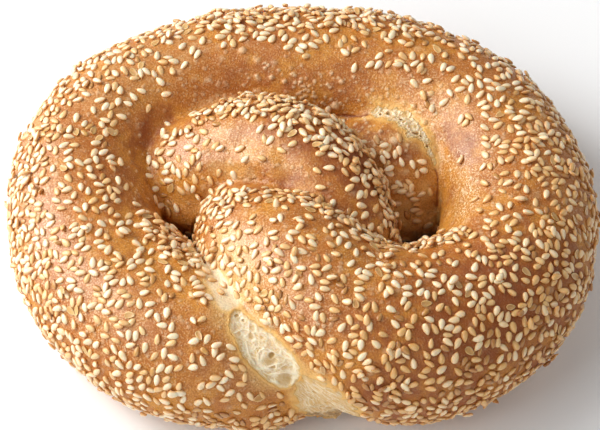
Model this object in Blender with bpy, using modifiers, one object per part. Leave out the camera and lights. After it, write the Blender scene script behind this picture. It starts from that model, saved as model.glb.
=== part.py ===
"""A sesame pretzel: one thick rope of dough, crossed twice over itself and baked.

The rope is a round tube along a curve through named stations, thick at the belly and
thin at its two ends. Its skin is merged into one closed body, so each crossing is a
soft crease, and the two gaps that the knot leaves go right through. Where the loaf
burst as it rose, a strand of crumb bridges the crease and the crust has open windows.
The underside is flat where the loaf lay on the baking tray.

Metres, +Z up. The longest side runs along X, and the front crossing faces -Y.
"""

from dataclasses import dataclass

import bmesh
import bpy
from mathutils import Matrix, Vector

MM = 0.001  # one millimetre, in metres

NAME = "pretzel"
CURVE_STEPS = 12  # steps from one station to the next
ROUND_STEPS = 10  # bevel resolution, which gives a tube of 44 sides
CAP_WELD = 0.00001  # closes a tube's loose end caps

SKIN_VOXEL = 1.0 * MM  # grain at which the strands are merged
CREASE_SMOOTHING = 16  # rounds of smoothing, which soften the creases
FACE_SHARE = 0.075  # share of the faces that the finished skin keeps

WINDOW_SIDES = 20
WINDOW_RINGS = 10

TRAY_Z = 0.0  # height of the baking tray
TRAY_CUT_DEPTH = 40 * MM
TRAY_CUT_SIDE = 300 * MM

CRUST_COLOUR = (0.60, 0.30, 0.09, 1.0)
CRUST_ROUGHNESS = 0.5


@dataclass(frozen=True)
class Station:
    """One place on a strand's centre line, with the dough's radius there, in millimetres."""

    name: str
    x: float
    y: float
    z: float
    radius: float


@dataclass(frozen=True)
class Window:
    """A torn opening in the crust: a shallow oval hollow, with its sizes in millimetres."""

    name: str
    centre: tuple
    along: tuple
    facing: tuple
    length: float
    width: float
    depth: float


# The rope in order, from the end that joins the left ring to the end that joins the right.
ROPE = (
    Station("left end, inside the left ring's wall", -47, 18, 14, 9),
    Station("left end comes out of the wall", -37, 17, 14, 12),
    Station("left end rises", -26, 16, 18, 14.5),
    Station("arch, left", -11, 16, 25, 14.5),
    Station("arch, top", 1, 10, 27, 14.5),
    Station("arch turns to the front", 8.5, -2, 24, 14),
    Station("dives under the front tongue", 11, -16, 16, 14),
    Station("comes out at the front seam", -2, -33, 13, 16),
    Station("front, left", -24, -36.8, 16.3, 18.8),
    Station("left ring, front", -45, -22.8, 16.5, 19.4),
    Station("left ring, side", -54.6, 1.5, 16, 19.3),
    Station("left ring, back", -51.5, 25.8, 16.5, 17.8),
    Station("belly, left", -31, 41.7, 17, 17.6),
    Station("belly, middle", 2, 46, 17.5, 18.4),
    Station("belly, right", 33.8, 38.6, 17.2, 18.4),
    Station("right ring, back", 51.6, 19.4, 17, 19.2),
    Station("right ring, side", 53.8, -8.8, 17.5, 20),
    Station("right ring, front", 41.3, -29, 18.8, 20.8),
    Station("front tongue, middle", 18, -35.8, 22, 21.6),
    Station("front tongue, tip", -3, -20, 25.5, 18.5),
    Station("dives under the arch", -11, -5, 18, 15.5),
    Station("passes under the arch", 4, 5, 11, 13.5),
    Station("comes up in the right gap", 14, 15, 12.5, 15.5),
    Station("right end, in the right gap", 25, 19.3, 13.7, 16.5),
    Station("right end, inside the right ring's wall", 38, 20, 12, 14),
)

# The third gap of the knot, between the arch and the belly, has swollen shut.
SHUT_GAP = (
    Station("left", -26, 21, 11, 8),
    Station("middle", -10, 25, 13, 9),
    Station("right", 8, 24, 13, 9),
)

# Crumb that burst out of the crease between the front's left strand and the tongue.
FRONT_BURST = (
    Station("top of the crease", -21, -27, 27, 4),
    Station("above the window", -17, -34, 28.5, 4.5),
    Station("window, top", -11, -40.5, 27.5, 5.5),
    Station("window, bottom", -5.2, -45, 23.6, 6.2),
    Station("below the window", 0, -45.5, 18, 7.2),
    Station("foot of the crease", 5, -45.5, 12, 8),
    Station("at the tray", 8, -44, 6, 7.5),
)

WINDOWS = (
    Window(
        "front_window",
        centre=(-8.6, -45.4, 30.8),
        along=(11, -10.5, -8.5),
        facing=(-0.05, -0.66, 0.75),
        length=21,
        width=8.5,
        depth=1.8,
    ),
    Window(
        "back_window",
        centre=(24.5, 24.8, 29.8),
        along=(13, -9, 0),
        facing=(0.1, -0.1, 0.98),
        length=20,
        width=5,
        depth=2,
    ),
)


def clear_scene():
    """Remove every object that is in the file."""
    for obj in list(bpy.data.objects):
        bpy.data.objects.remove(obj, do_unlink=True)


def new_collection(name):
    """Return a new collection of this name, linked to the scene."""
    collection = bpy.data.collections.new(name)
    bpy.context.scene.collection.children.link(collection)
    return collection


def crust_material():
    """Return the golden brown crust's material."""
    material = bpy.data.materials.new("baked_crust")
    material.use_nodes = True
    shader = material.node_tree.nodes["Principled BSDF"]
    shader.inputs["Base Color"].default_value = CRUST_COLOUR
    shader.inputs["Roughness"].default_value = CRUST_ROUGHNESS
    shader.inputs["Metallic"].default_value = 0.0
    return material


def strands_curve(name, strands):
    """Return a curve object with one round tube for each strand of stations."""
    curve = bpy.data.curves.new(name, "CURVE")
    curve.dimensions = "3D"
    curve.resolution_u = CURVE_STEPS
    curve.bevel_depth = MM
    curve.bevel_resolution = ROUND_STEPS
    curve.use_fill_caps = True
    for strand in strands:
        spline = curve.splines.new("BEZIER")
        spline.bezier_points.add(len(strand) - 1)
        for point, station in zip(spline.bezier_points, strand):
            point.co = Vector((station.x, station.y, station.z)) * MM
            point.radius = station.radius
            point.handle_left_type = "AUTO"
            point.handle_right_type = "AUTO"
    return bpy.data.objects.new(name, curve)


def strands_mesh(name, strands):
    """Return the strands as one object of closed tubes, with the curve removed."""
    tubes = strands_curve(name, strands)
    bpy.context.scene.collection.objects.link(tubes)
    evaluated = tubes.evaluated_get(bpy.context.evaluated_depsgraph_get())
    mesh = bpy.data.meshes.new_from_object(evaluated)
    bpy.data.objects.remove(tubes, do_unlink=True)
    shells = bmesh.new()
    shells.from_mesh(mesh)
    bmesh.ops.remove_doubles(shells, verts=shells.verts, dist=CAP_WELD)
    bmesh.ops.recalc_face_normals(shells, faces=shells.faces)
    shells.to_mesh(mesh)
    shells.free()
    return bpy.data.objects.new(name, mesh)


def merge_skin(body):
    """Merge the rope's turns into one skin, with soft creases and few faces."""
    merge = body.modifiers.new("one_skin", "REMESH")
    merge.mode = "VOXEL"
    merge.voxel_size = SKIN_VOXEL
    soften = body.modifiers.new("soft_creases", "SMOOTH")
    soften.iterations = CREASE_SMOOTHING
    fewer = body.modifiers.new("fewer_faces", "DECIMATE")
    fewer.ratio = FACE_SHARE


def cut(body, cutter):
    """Cut a cutter's shape from the body."""
    boolean = body.modifiers.new(cutter.name, "BOOLEAN")
    boolean.operation = "DIFFERENCE"
    boolean.object = cutter


def add_cutter(name, shape, collection):
    """Return a hidden cutter object made from a bmesh shape, which is freed."""
    mesh = bpy.data.meshes.new(name)
    shape.to_mesh(mesh)
    shape.free()
    cutter = bpy.data.objects.new(name, mesh)
    collection.objects.link(cutter)
    cutter.hide_render = True
    cutter.display_type = "WIRE"
    return cutter


def tray_cutter(collection):
    """Return a block whose top is the baking tray."""
    block = bmesh.new()
    bmesh.ops.create_cube(block, size=1.0)
    bmesh.ops.scale(block, vec=(TRAY_CUT_SIDE, TRAY_CUT_SIDE, TRAY_CUT_DEPTH), verts=block.verts)
    cutter = add_cutter("tray_cutter", block, collection)
    cutter.location.z = TRAY_Z - TRAY_CUT_DEPTH / 2
    return cutter


def window_cutter(window, collection):
    """Return a flattened ball that scoops a window's shallow hollow out of the crust."""
    ball = bmesh.new()
    bmesh.ops.create_uvsphere(ball, u_segments=WINDOW_SIDES, v_segments=WINDOW_RINGS, radius=1.0)
    half_sizes = Vector((window.length / 2, window.width / 2, window.depth)) * MM
    bmesh.ops.scale(ball, vec=half_sizes, verts=ball.verts)
    cutter = add_cutter(window.name, ball, collection)
    facing = Vector(window.facing).normalized()
    across = facing.cross(Vector(window.along)).normalized()
    turn = Matrix((across.cross(facing), across, facing)).transposed()
    cutter.matrix_basis = Matrix.Translation(Vector(window.centre) * MM) @ turn.to_4x4()
    return cutter


def bottom_centre(obj):
    """Return the middle of the underside of an object's box, as the viewport shows it."""
    bpy.context.view_layer.update()
    evaluated = obj.evaluated_get(bpy.context.evaluated_depsgraph_get())
    corners = [evaluated.matrix_world @ Vector(corner) for corner in evaluated.bound_box]
    low = Vector(min(corner[axis] for corner in corners) for axis in range(3))
    high = Vector(max(corner[axis] for corner in corners) for axis in range(3))
    return Vector(((low.x + high.x) / 2, (low.y + high.y) / 2, low.z))


def main():
    """Build the pretzel."""
    clear_scene()
    parts = new_collection(NAME)
    cutters = new_collection("cutters")
    body = strands_mesh(NAME, (ROPE, SHUT_GAP, FRONT_BURST))
    body.data.materials.append(crust_material())
    parts.objects.link(body)
    merge_skin(body)
    base = bpy.data.objects.new("base", None)
    parts.objects.link(base)
    tools = [window_cutter(window, cutters) for window in WINDOWS]
    tools.append(tray_cutter(cutters))
    for tool in tools:
        cut(body, tool)
    for obj in (body, *tools):
        obj.parent = base
    base.location = -bottom_centre(body)


main()
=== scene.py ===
"""The looks of a baked sesame pretzel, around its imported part.

One thick rope of dough runs along named stations and crosses itself twice. Its skin is a
golden crust with small blisters. Where the loaf burst as it rose, three tears show the
crumb inside. Sesame seeds of four kinds lie over the crust, thick on the ridges and outer
sides, and sparse on the slopes that face inwards.

Stations and regions are in millimetres, as the rope was laid out. Meshes are in metres,
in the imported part's frame.
"""

import logging
import math
from dataclasses import dataclass
from enum import Enum
from typing import Any, TypeVar

import bmesh
import bpy
import numpy as np
from bpy.types import Curve, Material, Mesh, Node, NodeSocket, NodeTree, Object
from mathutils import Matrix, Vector, noise
from mathutils.bvhtree import BVHTree
from mathutils.kdtree import KDTree


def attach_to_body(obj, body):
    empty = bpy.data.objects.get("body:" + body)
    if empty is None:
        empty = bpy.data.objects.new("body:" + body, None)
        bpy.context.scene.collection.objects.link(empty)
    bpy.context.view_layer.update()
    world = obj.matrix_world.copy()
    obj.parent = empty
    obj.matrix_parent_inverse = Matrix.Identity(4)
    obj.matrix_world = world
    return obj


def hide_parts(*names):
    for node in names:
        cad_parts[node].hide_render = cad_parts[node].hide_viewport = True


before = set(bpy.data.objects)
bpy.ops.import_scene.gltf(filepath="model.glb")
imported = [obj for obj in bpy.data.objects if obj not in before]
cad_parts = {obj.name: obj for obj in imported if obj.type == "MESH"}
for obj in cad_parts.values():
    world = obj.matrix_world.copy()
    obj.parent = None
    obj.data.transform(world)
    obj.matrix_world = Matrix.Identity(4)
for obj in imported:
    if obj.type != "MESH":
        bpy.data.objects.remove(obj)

LOG = logging.getLogger("pretzel")

Item = TypeVar("Item")
Array = np.ndarray
Point = tuple[float, float, float]
Colour = tuple[float, float, float]

MM = 0.001  # one millimetre, in metres
PART_SHIFT = np.array((-0.4662, -3.4465, 0.0))  # from the rope's layout to the part, in mm
WELD = 0.01 * MM  # points that are nearer than this are one
FAR = 99.0  # mm, for places that are nowhere near a tear
NODE = "pretzel"
BODY = "root"

OPEN = "openness"  # attributes that the crust's finish reads
# paleness, partly painted sheen on some flanks that face the lamps
PALE = "pale"
# the bake, with painted shade along the folds, creases and lower right
BAKE_AND_SHADE = "baked"
TRAY = "tray"
RIM = "rim"
BLISTER = "blister"
BUBBLE = "bubble"
# gloss, and the crust's grain whitened as painted sheen
GLOSS_AND_SHEEN = "glaze"
PIT_SHADE = "pit"  # attributes that the crumb's finish reads
WALL = "wall"
SCORCH = "scorch"
TINT = "seed_tint"  # attributes that the sesame's finish reads
ALONG = "seed_along"
EDGE_SHADE = "seed_edge"
NORMAL = "normal_way"  # attributes that turn each seed on its spot
HEADING = "heading"
LEAN = "lean"
SCALE = "seed_scale"
SEED_PAINT = (NORMAL, HEADING, LEAN, SCALE, TINT)
PLACE = "place"  # what else is kept of each laid seed
KIND = "kind"


# ---- layout of the dough


def table(kind: type[Item], *rows: tuple) -> tuple[Item, ...]:
    """Return one item of a kind for each row of its fields."""
    return tuple(kind(*row) for row in rows)


@dataclass(frozen=True)
class Station:
    """One place on a strand's centre line, with the dough's radius there, in mm."""

    name: str
    x: float
    y: float
    z: float
    radius: float


# The rope in order, from the end that joins the left ring to the end that joins the right.
ROPE = table(
    Station,
    ("left end, inside the left ring's wall", -47, 18, 14, 9),
    ("left end comes out of the wall", -37, 17, 14, 12),
    ("left end rises", -26, 16, 18, 14.5),
    ("arch, left", -11, 16, 25, 14.5),
    ("arch, top", 1, 10, 27, 14.5),
    ("arch turns to the front", 8.5, -2, 24, 14),
    ("dives under the front tongue", 11, -16, 16, 14),
    ("comes out at the front seam", -2, -33, 13, 16),
    ("front, left", -24, -36.8, 16.3, 18.8),
    ("left ring, front", -45, -22.8, 16.5, 19.4),
    ("left ring, side", -54.6, 1.5, 16, 19.3),
    ("left ring, back", -51.5, 25.8, 16.5, 17.8),
    ("belly, left", -31, 41.7, 17, 17.6),
    ("belly, middle", 2, 46, 17.5, 18.4),
    ("belly, right", 33.8, 38.6, 17.2, 18.4),
    ("right ring, back", 51.6, 19.4, 17, 19.2),
    ("right ring, side", 53.8, -8.8, 17.5, 20),
    ("right ring, front", 41.3, -29, 18.8, 20.8),
    ("front tongue, middle", 18, -35.8, 22, 21.6),
    ("front tongue, tip", -3, -20, 25.5, 18.5),
    ("dives under the arch", -11, -5, 18, 15.5),
    ("passes under the arch", 4, 5, 11, 13.5),
    ("comes up in the right gap", 14, 15, 12.5, 15.5),
    ("right end, in the right gap", 25, 19.3, 13.7, 16.5),
    ("right end, inside the right ring's wall", 38, 20, 12, 14),
)

# The third gap of the knot, between the arch and the belly, has swollen shut.
SHUT_GAP = table(
    Station,
    ("left", -26, 21, 11, 8),
    ("middle", -10, 25, 13, 9),
    ("right", 8, 24, 13, 9),
)

# Crumb that burst out of the crease between the front's left strand and the tongue.
FRONT_BURST = table(
    Station,
    ("top of the crease", -21, -27, 27, 4),
    ("above the window", -17, -34, 28.5, 4.5),
    ("window, top", -11, -40.5, 27.5, 5.5),
    ("window, bottom", -5.2, -45, 23.6, 6.2),
    ("below the window", 0, -45.5, 18, 7.2),
    ("foot of the crease", 5, -45.5, 12, 8),
    ("at the tray", 8, -44, 6, 7.5),
)


@dataclass(frozen=True)
class Region:
    """A soft-edged capsule on the loaf, with its sizes in mm."""

    name: str
    start: Point
    end: Point
    radius: float
    edge: float
    amount: float = 1.0

    def share(self, places: Array) -> Array:
        """Say how strongly the region holds at each place.

        Args:
            places: Points in layout millimetres, one a row.

        Returns:
            The region's amount inside it, falling to 0 over its edge.
        """
        away = segment_distance(places, self.start, self.end)
        return self.amount * (1 - smooth_step(away, self.radius, self.radius + self.edge))


@dataclass(frozen=True)
class Swelling(Region):
    """A region where the loaf swells past its rope, on the side that faces one way."""

    facing: Point = (0, 0, 1)

    def rise(self, places: Array, normals: Array) -> Array:
        """Say how far the skin moves out at each place, in mm."""
        turned = normals @ unit(np.array(self.facing, float))
        return self.share(places) * smooth_step(turned, -0.1, 0.5)


@dataclass(frozen=True)
class Fold:
    """A sharp crease where two strands meet, cut as a groove, with its sizes in mm."""

    name: str
    path: tuple[Point, ...]
    facing: Point
    width: float
    depth: float
    reach: float = 9.0

    def share(
        self, places: Array, normals: Array, spread: float = 1.0
    ) -> Array:
        """Say how near places are to the fold.

        Args:
            places: Places on the crust, in mm.
            normals: The crust's directions there.
            spread: Widens the fold by this factor.

        Returns:
            1 on the fold's line, falling to 0 beside it.
        """
        facing = unit(np.array(self.facing, float))
        flatten = np.eye(3) - np.outer(facing, facing)
        path = np.array(self.path, float)
        flat = path @ flatten
        away = np.full(len(places), np.inf)
        for start, end in zip(flat, flat[1:]):
            away = np.minimum(away, segment_distance(places @ flatten, start, end))
        near = np.abs((places - path.mean(axis=0)) @ facing) < self.reach
        near &= normals @ facing > -0.3
        return np.exp(-((away / (self.width * spread)) ** 2)) * near


# Crust that stayed pale, as another strand shaded it or it tore open late; some is painted sheen.
PALE_AND_SHEEN_REGIONS = table(
    Region,
    ("arch's flank in the left gap", (-27, 1, 21), (-18, -1, 22), 4, 6, 0.35),
    ("tongue end's right side", (30, 10, 19), (28.5, 2, 8), 4, 2.5, 0.60),
    ("tongue end's low front", (25, 2, 15), (33, 5, 8), 4, 6, 0.85),
    # The next three are pale partly as painted sheen, on flanks that face the lamps.
    ("front tongue's left flank", (-18, -20, 36), (-14.3, -31, 36), 3, 7, 0.58),
    ("arch, left middle", (-22, 12, 35), (-11, 8.5, 38.4), 3, 5, 0.10),
    ("right ring's inner slope", (40, 6, 29.5), (41, -5, 31.5), 2, 4, 0.25),
    ("left ring, back", (-50, 30, 32), (-34, 44, 32), 7, 8, 0.28),
    ("belly's flank at the left", (-28, 29, 27), (-20, 31, 28), 1.0, 3, 0.35),
    ("streak above the window", (-26, -17, 27), (-17.5, -34.5, 33.5), 1.8, 3.5, 1.6),
    ("left of the window", (-18, -38, 33), (-8, -51, 25), 1.5, 7.5, 0.50),
    ("right of the window", (-11, -39, 33.5), (2, -50, 28), 0.8, 3.5, 0.62),
    ("right of the foot", (4, -53, 27), (14, -57, 18), 1, 4.5, 0.8),
    ("right ring's crease", (34.5, 16, 27), (35, 6, 18), 1, 3.0, 0.4),
    ("tongue end's top edge", (9, 27.5, 25), (18, 25.5, 28), 0.5, 1.2, 0.8),
    ("behind the back tear", (18, 30.5, 29), (33, 21, 30), 0.5, 1.6, 0.5),
    # Partly painted light: lightens the shaded valley above the tongue.
    ("arch's flank over the left gap", (-21, 6.5, 32), (-12, 3, 33.5), 1.5, 2.5, 0.40),
    ("below the back tear", (23.5, 17.5, 29.8), (29, 15.3, 28.8), 0.8, 2.0, 0.38),
)

# Crust darker than the rest: baked darker, and partly painted shade on the lower right and along creases.
BAKE_AND_SHADE_REGIONS = table(
    Region,
    # Partly painted shade: the lower right is the loaf's shaded side.
    ("lower right", (30, -50, 28), (56, -30, 26), 12, 18, 0.8),
    ("belly's front flank", (-14, 36, 33), (14, 34, 32), 3, 9, 0.3),
    ("left ring's inner slope", (-44, 14, 30), (-37, -8, 29), 4, 8, 0.35),
    ("arch's right shoulder", (0, 14, 39), (20, -3, 31), 6, 6, 0.75),
    ("tongue end's top", (19, 23, 29), (24, 16, 29), 4, 6, 0.6),
    ("front tongue's top edge", (-22, -3, 30), (8, -8, 36), 4, 6, 0.45),
    ("right ring's inner slope", (38, 12, 28), (36.5, -8, 28), 3, 4, 0.34),
    ("right ring's wall in the right gap", (35, 5, 22), (34, -8, 17), 3.5, 3, 0.45),
    ("right ring, high inside", (38.5, 17, 31), (41, 11, 31.5), 2.5, 4, 0.6),
    # The next three darken creases, partly as painted shade.
    ("crease over the tongue", (-11, 1.5, 33.5), (4, -5, 37.5), 2.4, 3, 0.60),
    ("crease by the left ring", (-35, 25, 29), (-41, 14, 28), 2.5, 3.5, 0.7),
    ("crease by the left ring, low", (-41, 14, 28), (-37, 9, 25), 3, 4, 0.6),
    ("left ring's crest", (-46, 6, 35), (-44, -16, 35), 5, 8, 0.32),
    ("belly's crest", (-16, 47, 36), (24, 46, 36), 4, 8, 0.22),
)

# Where seeds are few: each amount is the share of the seeds that are missing there.
BARE_REGIONS = table(
    Region,
    ("belly's front flank, left", (-36, 24, 29), (-12, 37.5, 32), 6.5, 3.5, 0.96),
    ("belly's front flank, right", (-12, 37, 32), (24, 31, 30), 4.5, 4, 0.96),
    ("left ring's inner slope", (-42, 19, 28), (-39, 0, 28), 3.0, 2.5, 0.9),
    ("arch, left middle", (-17, 11.5, 37.5), (-11, 3.5, 35), 3.0, 3, 0.9),
    ("arch, left", (-29, 12.5, 32), (-15, 7, 36), 3, 4, 0.45),
    ("arch, low left", (-28, 1, 20), (-20, -2, 16), 5, 3, 0.80),
    ("arch's flank over the tongue", (-11, 4.5, 35.5), (0, -1, 38), 2.2, 1.8, 0.85),
    ("arch's flank, right", (0, -1, 38), (18.5, -8, 32.5), 2.2, 1.8, 0.85),
    ("arch's right half, inside", (0, 5.3, 40.6), (14, -1.4, 37.3), 2.5, 2.5, 0.5),
    ("tongue's very top", (-16, -1, 32), (-3.5, -3, 36.5), 1.8, 1.5, 0.9),
    ("tongue end's top", (16, 25, 28), (28, 18, 29), 4.5, 2.5, 0.93),
    ("right ring's inner slope", (39, 14, 29), (37.5, -8, 29), 4, 3.5, 0.9),
    ("behind the back tear", (18, 30, 28.5), (34, 19, 29), 3, 3, 0.95),
    ("crease in the right gap", (34, 12, 26), (34.5, 5.5, 8), 1.8, 1.2),
    ("right ring's wall in the right gap", (36, 5, 24), (34, -8, 18), 5, 2.5, 0.95),
    ("tongue end, low in the right gap", (26, 3, 12), (31, 4, 7), 4, 3, 0.6),
    ("window", (-16.5, -38, 33), (-2, -50, 26), 4.2, 2.0),
    ("foot", (2, -53, 22), (10, -54, 13), 6, 2.5),
    ("streak above the window", (-26, -18, 28), (-18, -34, 33.5), 1.5, 2, 0.8),
    ("front, left of the window", (-30, -43, 33), (-16, -53, 20), 6, 6, 0.6),
)

# Where the crust is glossier, and its grain whiter as painted sheen, than its slope alone would make it.
GLOSS_AND_SHEEN_REGIONS = table(
    Region,
    ("right ring's inner slope", (39.5, 10, 29.5), (41, -5, 32), 2.6, 4.5, 2.1),
)

# Where seeds lie thick, some on top of others.
THICK_REGIONS = table(
    Region,
    ("arch's crest, left", (-33, 21, 27), (-10, 24, 37), 4.5, 4),
    ("arch's crest, middle", (-10, 24, 37), (10, 10, 40), 5.5, 4),
    ("arch's crest, right", (10, 10, 40), (23, -6, 28), 3.5, 3),
    ("tongue end's front", (19, 10.5, 27), (29, 8, 24), 4, 4, 0.62),
    ("tongue's top edge, left", (-18, -7, 34), (0, -9, 39), 2.5, 3, 0.9),
    ("tongue's top edge, middle", (0, -9, 39), (16, -17, 37), 2.5, 3),
    ("tongue's top edge, right", (16, -17, 37), (26, -15, 31), 4, 4),
    ("right gap's front rim", (26, -15, 31), (37, -17, 35), 3, 4),
    ("left ring's front shoulder", (-34, -12, 31), (-26, -22, 32), 4, 4, 0.8),
    ("belly's crest", (-18, 54, 33), (30, 53, 31), 5, 6, 0.6),
)

# Where the seeds are browner, toasted and partly painted shade on the loaf's shaded sides: each amount
# says how far.
BROWNED_AND_SHADED_SEEDS = table(
    Region,
    ("lower right", (6, -57, 14), (58, -34, 18), 14, 14, 0.9),
    ("right side", (70, -22, 20), (66, 20, 20), 12, 10, 0.75),
    ("right ring", (50, -25, 34), (55, 14, 33), 8, 8, 0.45),
    ("front, low left", (-60, -30, 6), (-14, -56, 6), 6, 8, 0.35),
    ("front tongue, middle", (8, -44, 40), (20, -54, 33), 9, 9, 0.45),
    ("right gap", (26, 4, 16), (32, 6, 6), 8, 6, 0.35),
)

# Where the loaf swells past its rope, or shrinks behind it: the amounts are in mm.
SWELLINGS = table(
    Swelling,
    ("left ring's shoulder", (-33, -11, 27), (-27, -22, 28), 5, 6, 1.9, (0.5, 0.2, 1.0)),
    ("left ring's edge", (-28, -9, 21), (-25, -19, 24), 4, 5, 1.5, (1.0, 0.4, 0.3)),
    ("tongue's left end", (-23, -10, 24), (-23, -22, 27), 6, 6, -0.5, (-0.5, 0.3, 1.0)),
    ("arch, low in the left gap", (-30, 2, 11), (-18, -2, 9), 6, 6, 2.6, (0, -1, 0.1)),
    ("tongue end, low", (26, 4, 8), (31, 5, 7), 5, 5, 2.6, (0, -1, -0.3)),
    ("arch's flank", (-24, 6, 30), (-9, 2.5, 34), 3, 5, 1.3, (-0.3, -0.7, 0.6)),
    ("front strand's low end", (-10, -51, 7), (-4, -51, 6), 4, 5, 2.0, (0.6, -0.9, -0.3)),
    ("foot, low", (6, -53, 8), (12, -53, 7), 5, 4, -1.5, (0, -1, 0)),
)

CAMERA_WAY = (0.0, -0.574, 0.819)  # towards the camera, along which the folds were placed

FOLDS = (
    Fold(
        "tongue end and right ring",
        (
            (33.1, 15.1, 27.4), (33.8, 12.1, 25.9), (34.9, 9.6, 23.7), (34.9, 7.3, 20.9),
            (34.8, 5.4, 16.9),
        ),
        CAMERA_WAY, 0.30, 0.2,
    ),
    Fold(
        "belly and tongue end",
        ((6.5, 29.0, 23.8), (11.7, 28.1, 24.9), (15.5, 26.8, 26.2), (18.2, 27.2, 27.0)),
        CAMERA_WAY, 0.35, 0.25,
    ),
)


@dataclass(frozen=True)
class Dome:
    """One large blister of the crust, in mm."""

    centre: Point
    radius: float
    height: float


BIG_BLISTERS = table(
    Dome,
    ((9.1, 29.9, 26.8), 1.15, 0.85),
    ((29.0, 26.8, 30.5), 0.8, 0.6),
    ((31.7, 22.6, 29.2), 0.8, 0.6),
    ((19.1, 16.8, 29.3), 1.0, 0.6),
    ((20.6, 16.1, 29.4), 0.6, 0.5),
    ((23.9, 16.5, 29.7), 1.3, 0.6),
    ((20.4, 19.5, 29.6), 0.7, 0.5),
    ((-7.3, 35.2, 31.7), 0.8, 0.6),
    ((-4.0, 34.3, 31.1), 0.7, 0.5),
    ((-14.8, 41.7, 34.7), 1.1, 0.6),
    ((10.6, 33.8, 31.7), 0.8, 0.5),
)

# Where small blisters crowd: each amount is the share of the places that blistered.
BLISTER_PATCHES = table(
    Region,
    ("belly's front flank, left", (-10, 35, 31), (4, 32.5, 30), 3.5, 4, 0.022),
    ("belly's front flank, right", (4, 31.5, 29), (20, 31.5, 30), 3.5, 4, 0.018),
    ("right ring's inner slope", (35, 22, 31), (41, 4, 31), 2.5, 5, 0.008),
    ("behind the back tear", (20, 30, 30), (33, 23, 31), 1.5, 3, 0.018),
    ("tongue end's top", (17, 23, 28.5), (24, 15.5, 29.5), 3, 3, 0.022),
    ("left ring's inner slope", (-41, 16, 29), (-38, -4, 29), 2, 4, 0.007),
    ("arch, left middle", (-22, 8, 33), (-8, 6, 37), 3, 4, 0.007),
)


# ---- small helpers


def smooth_step(values: Array, low: float, high: float) -> Array:
    """Return values eased from 0 at low to 1 at high."""
    t = np.clip((values - low) / (high - low), 0, 1)
    return t * t * (3 - 2 * t)


def segment_distance(places: Array, start: Any, end: Any) -> Array:
    """Return how far each place is from the straight line between two points."""
    start = np.array(start, float)
    along = np.array(end, float) - start
    t = np.clip((places - start) @ along / max(float(along @ along), 1e-9), 0, 1)[:, None]
    return np.linalg.norm(places - start - t * along, axis=1)


def unit(vectors: Array) -> Array:
    """Return the vectors at length 1."""
    return vectors / np.maximum(np.linalg.norm(vectors, axis=-1, keepdims=True), 1e-12)


def strongest(regions: tuple[Region, ...], places: Array) -> Array:
    """Return the largest share that one of the regions has at each place."""
    return np.max([region.share(places) for region in regions], axis=0)


def wobble(places: Array, size: float) -> Array:
    """Return soft noise from -1 to 1 with features of this size, in mm."""
    return np.array([noise.noise(Vector(place / size)) for place in places])


def rounded(path: Array, rounds: int, closed: bool) -> Array:
    """Return a flat path with its corners cut off, as often as rounds says."""
    for _ in range(rounds):
        before, after = (path, np.roll(path, -1, axis=0)) if closed else (path[:-1], path[1:])
        cuts = np.stack((0.75 * before + 0.25 * after, 0.25 * before + 0.75 * after), axis=1)
        cuts = cuts.reshape(-1, 2)
        path = cuts if closed else np.concatenate((path[:1], cuts, path[-1:]))
    return path


def to_part(places: Array) -> Array:
    """Turn layout millimetres into the part's metres."""
    return (places + PART_SHIFT) * MM


def to_layout(points: Array) -> Array:
    """Turn the part's metres into layout millimetres."""
    return points / MM - PART_SHIFT


def read_rows(items: Any, field: str, width: int = 3) -> Array:
    """Return a field of a mesh's points, normals or paint, one item a row."""
    flat = np.empty(len(items) * width, np.float32)
    items.foreach_get(field, flat)
    return flat.reshape(-1, width).astype(float)


def read_points(mesh: Mesh) -> Array:
    """Return a mesh's points in metres, one a row."""
    return read_rows(mesh.vertices, "co")


def read_normals(mesh: Mesh) -> Array:
    """Return a mesh's point normals, one a row."""
    return read_rows(mesh.vertex_normals, "vector")


def write_points(mesh: Mesh, points: Array) -> None:
    """Move a mesh's points to these places, in metres."""
    mesh.vertices.foreach_set("co", points.astype(np.float32).ravel())
    mesh.update()


def paint(mesh: Mesh, name: str, values: Array) -> None:
    """Store one number for each point of a mesh, or one vector."""
    vectors = values.ndim == 2
    kind = "FLOAT_VECTOR" if vectors else "FLOAT"
    field = mesh.attributes.get(name) or mesh.attributes.new(name, kind, "POINT")
    field.data.foreach_set("vector" if vectors else "value", values.astype(np.float32).ravel())


def soften(mesh: Mesh, values: Array, rounds: int) -> Array:
    """Even out one number a point over the mesh.

    Args:
        mesh: The mesh whose edges join the points.
        values: One number for each point.
        rounds: How many times each point takes its neighbours' mean.

    Returns:
        The evened numbers.
    """
    ends = np.empty(len(mesh.edges) * 2, np.int32)
    mesh.edges.foreach_get("vertices", ends)
    first, second = ends.reshape(-1, 2).T
    count = np.bincount(first, minlength=len(values)) + np.bincount(second, minlength=len(values))
    for _ in range(rounds):
        total = np.bincount(first, weights=values[second], minlength=len(values))
        total += np.bincount(second, weights=values[first], minlength=len(values))
        values = 0.5 * values + 0.5 * total / np.maximum(count, 1)
    return values


def linked_object(name: str, data: bpy.types.ID) -> Object:
    """Return a new object with this data, linked to the scene."""
    obj = bpy.data.objects.new(name, data)
    bpy.context.scene.collection.objects.link(obj)
    return obj


def plain_mesh(obj: Object) -> Mesh:
    """Return an object's evaluated mesh, and remove the object."""
    name = obj.name
    graph = bpy.context.evaluated_depsgraph_get()
    mesh = bpy.data.meshes.new_from_object(obj.evaluated_get(graph))
    bpy.data.objects.remove(obj, do_unlink=True)
    mesh.name = name
    return mesh


def mesh_tree(mesh: Mesh) -> BVHTree:
    """Return a search tree of a mesh's faces, in metres."""
    return BVHTree.FromPolygons(
        [v.co for v in mesh.vertices], [p.vertices for p in mesh.polygons], all_triangles=False
    )


def shade_smooth(mesh: Mesh) -> None:
    """Shade all the faces smooth."""
    mesh.polygons.foreach_set("use_smooth", np.ones(len(mesh.polygons), bool))


# ---- node trees in Python


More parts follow.
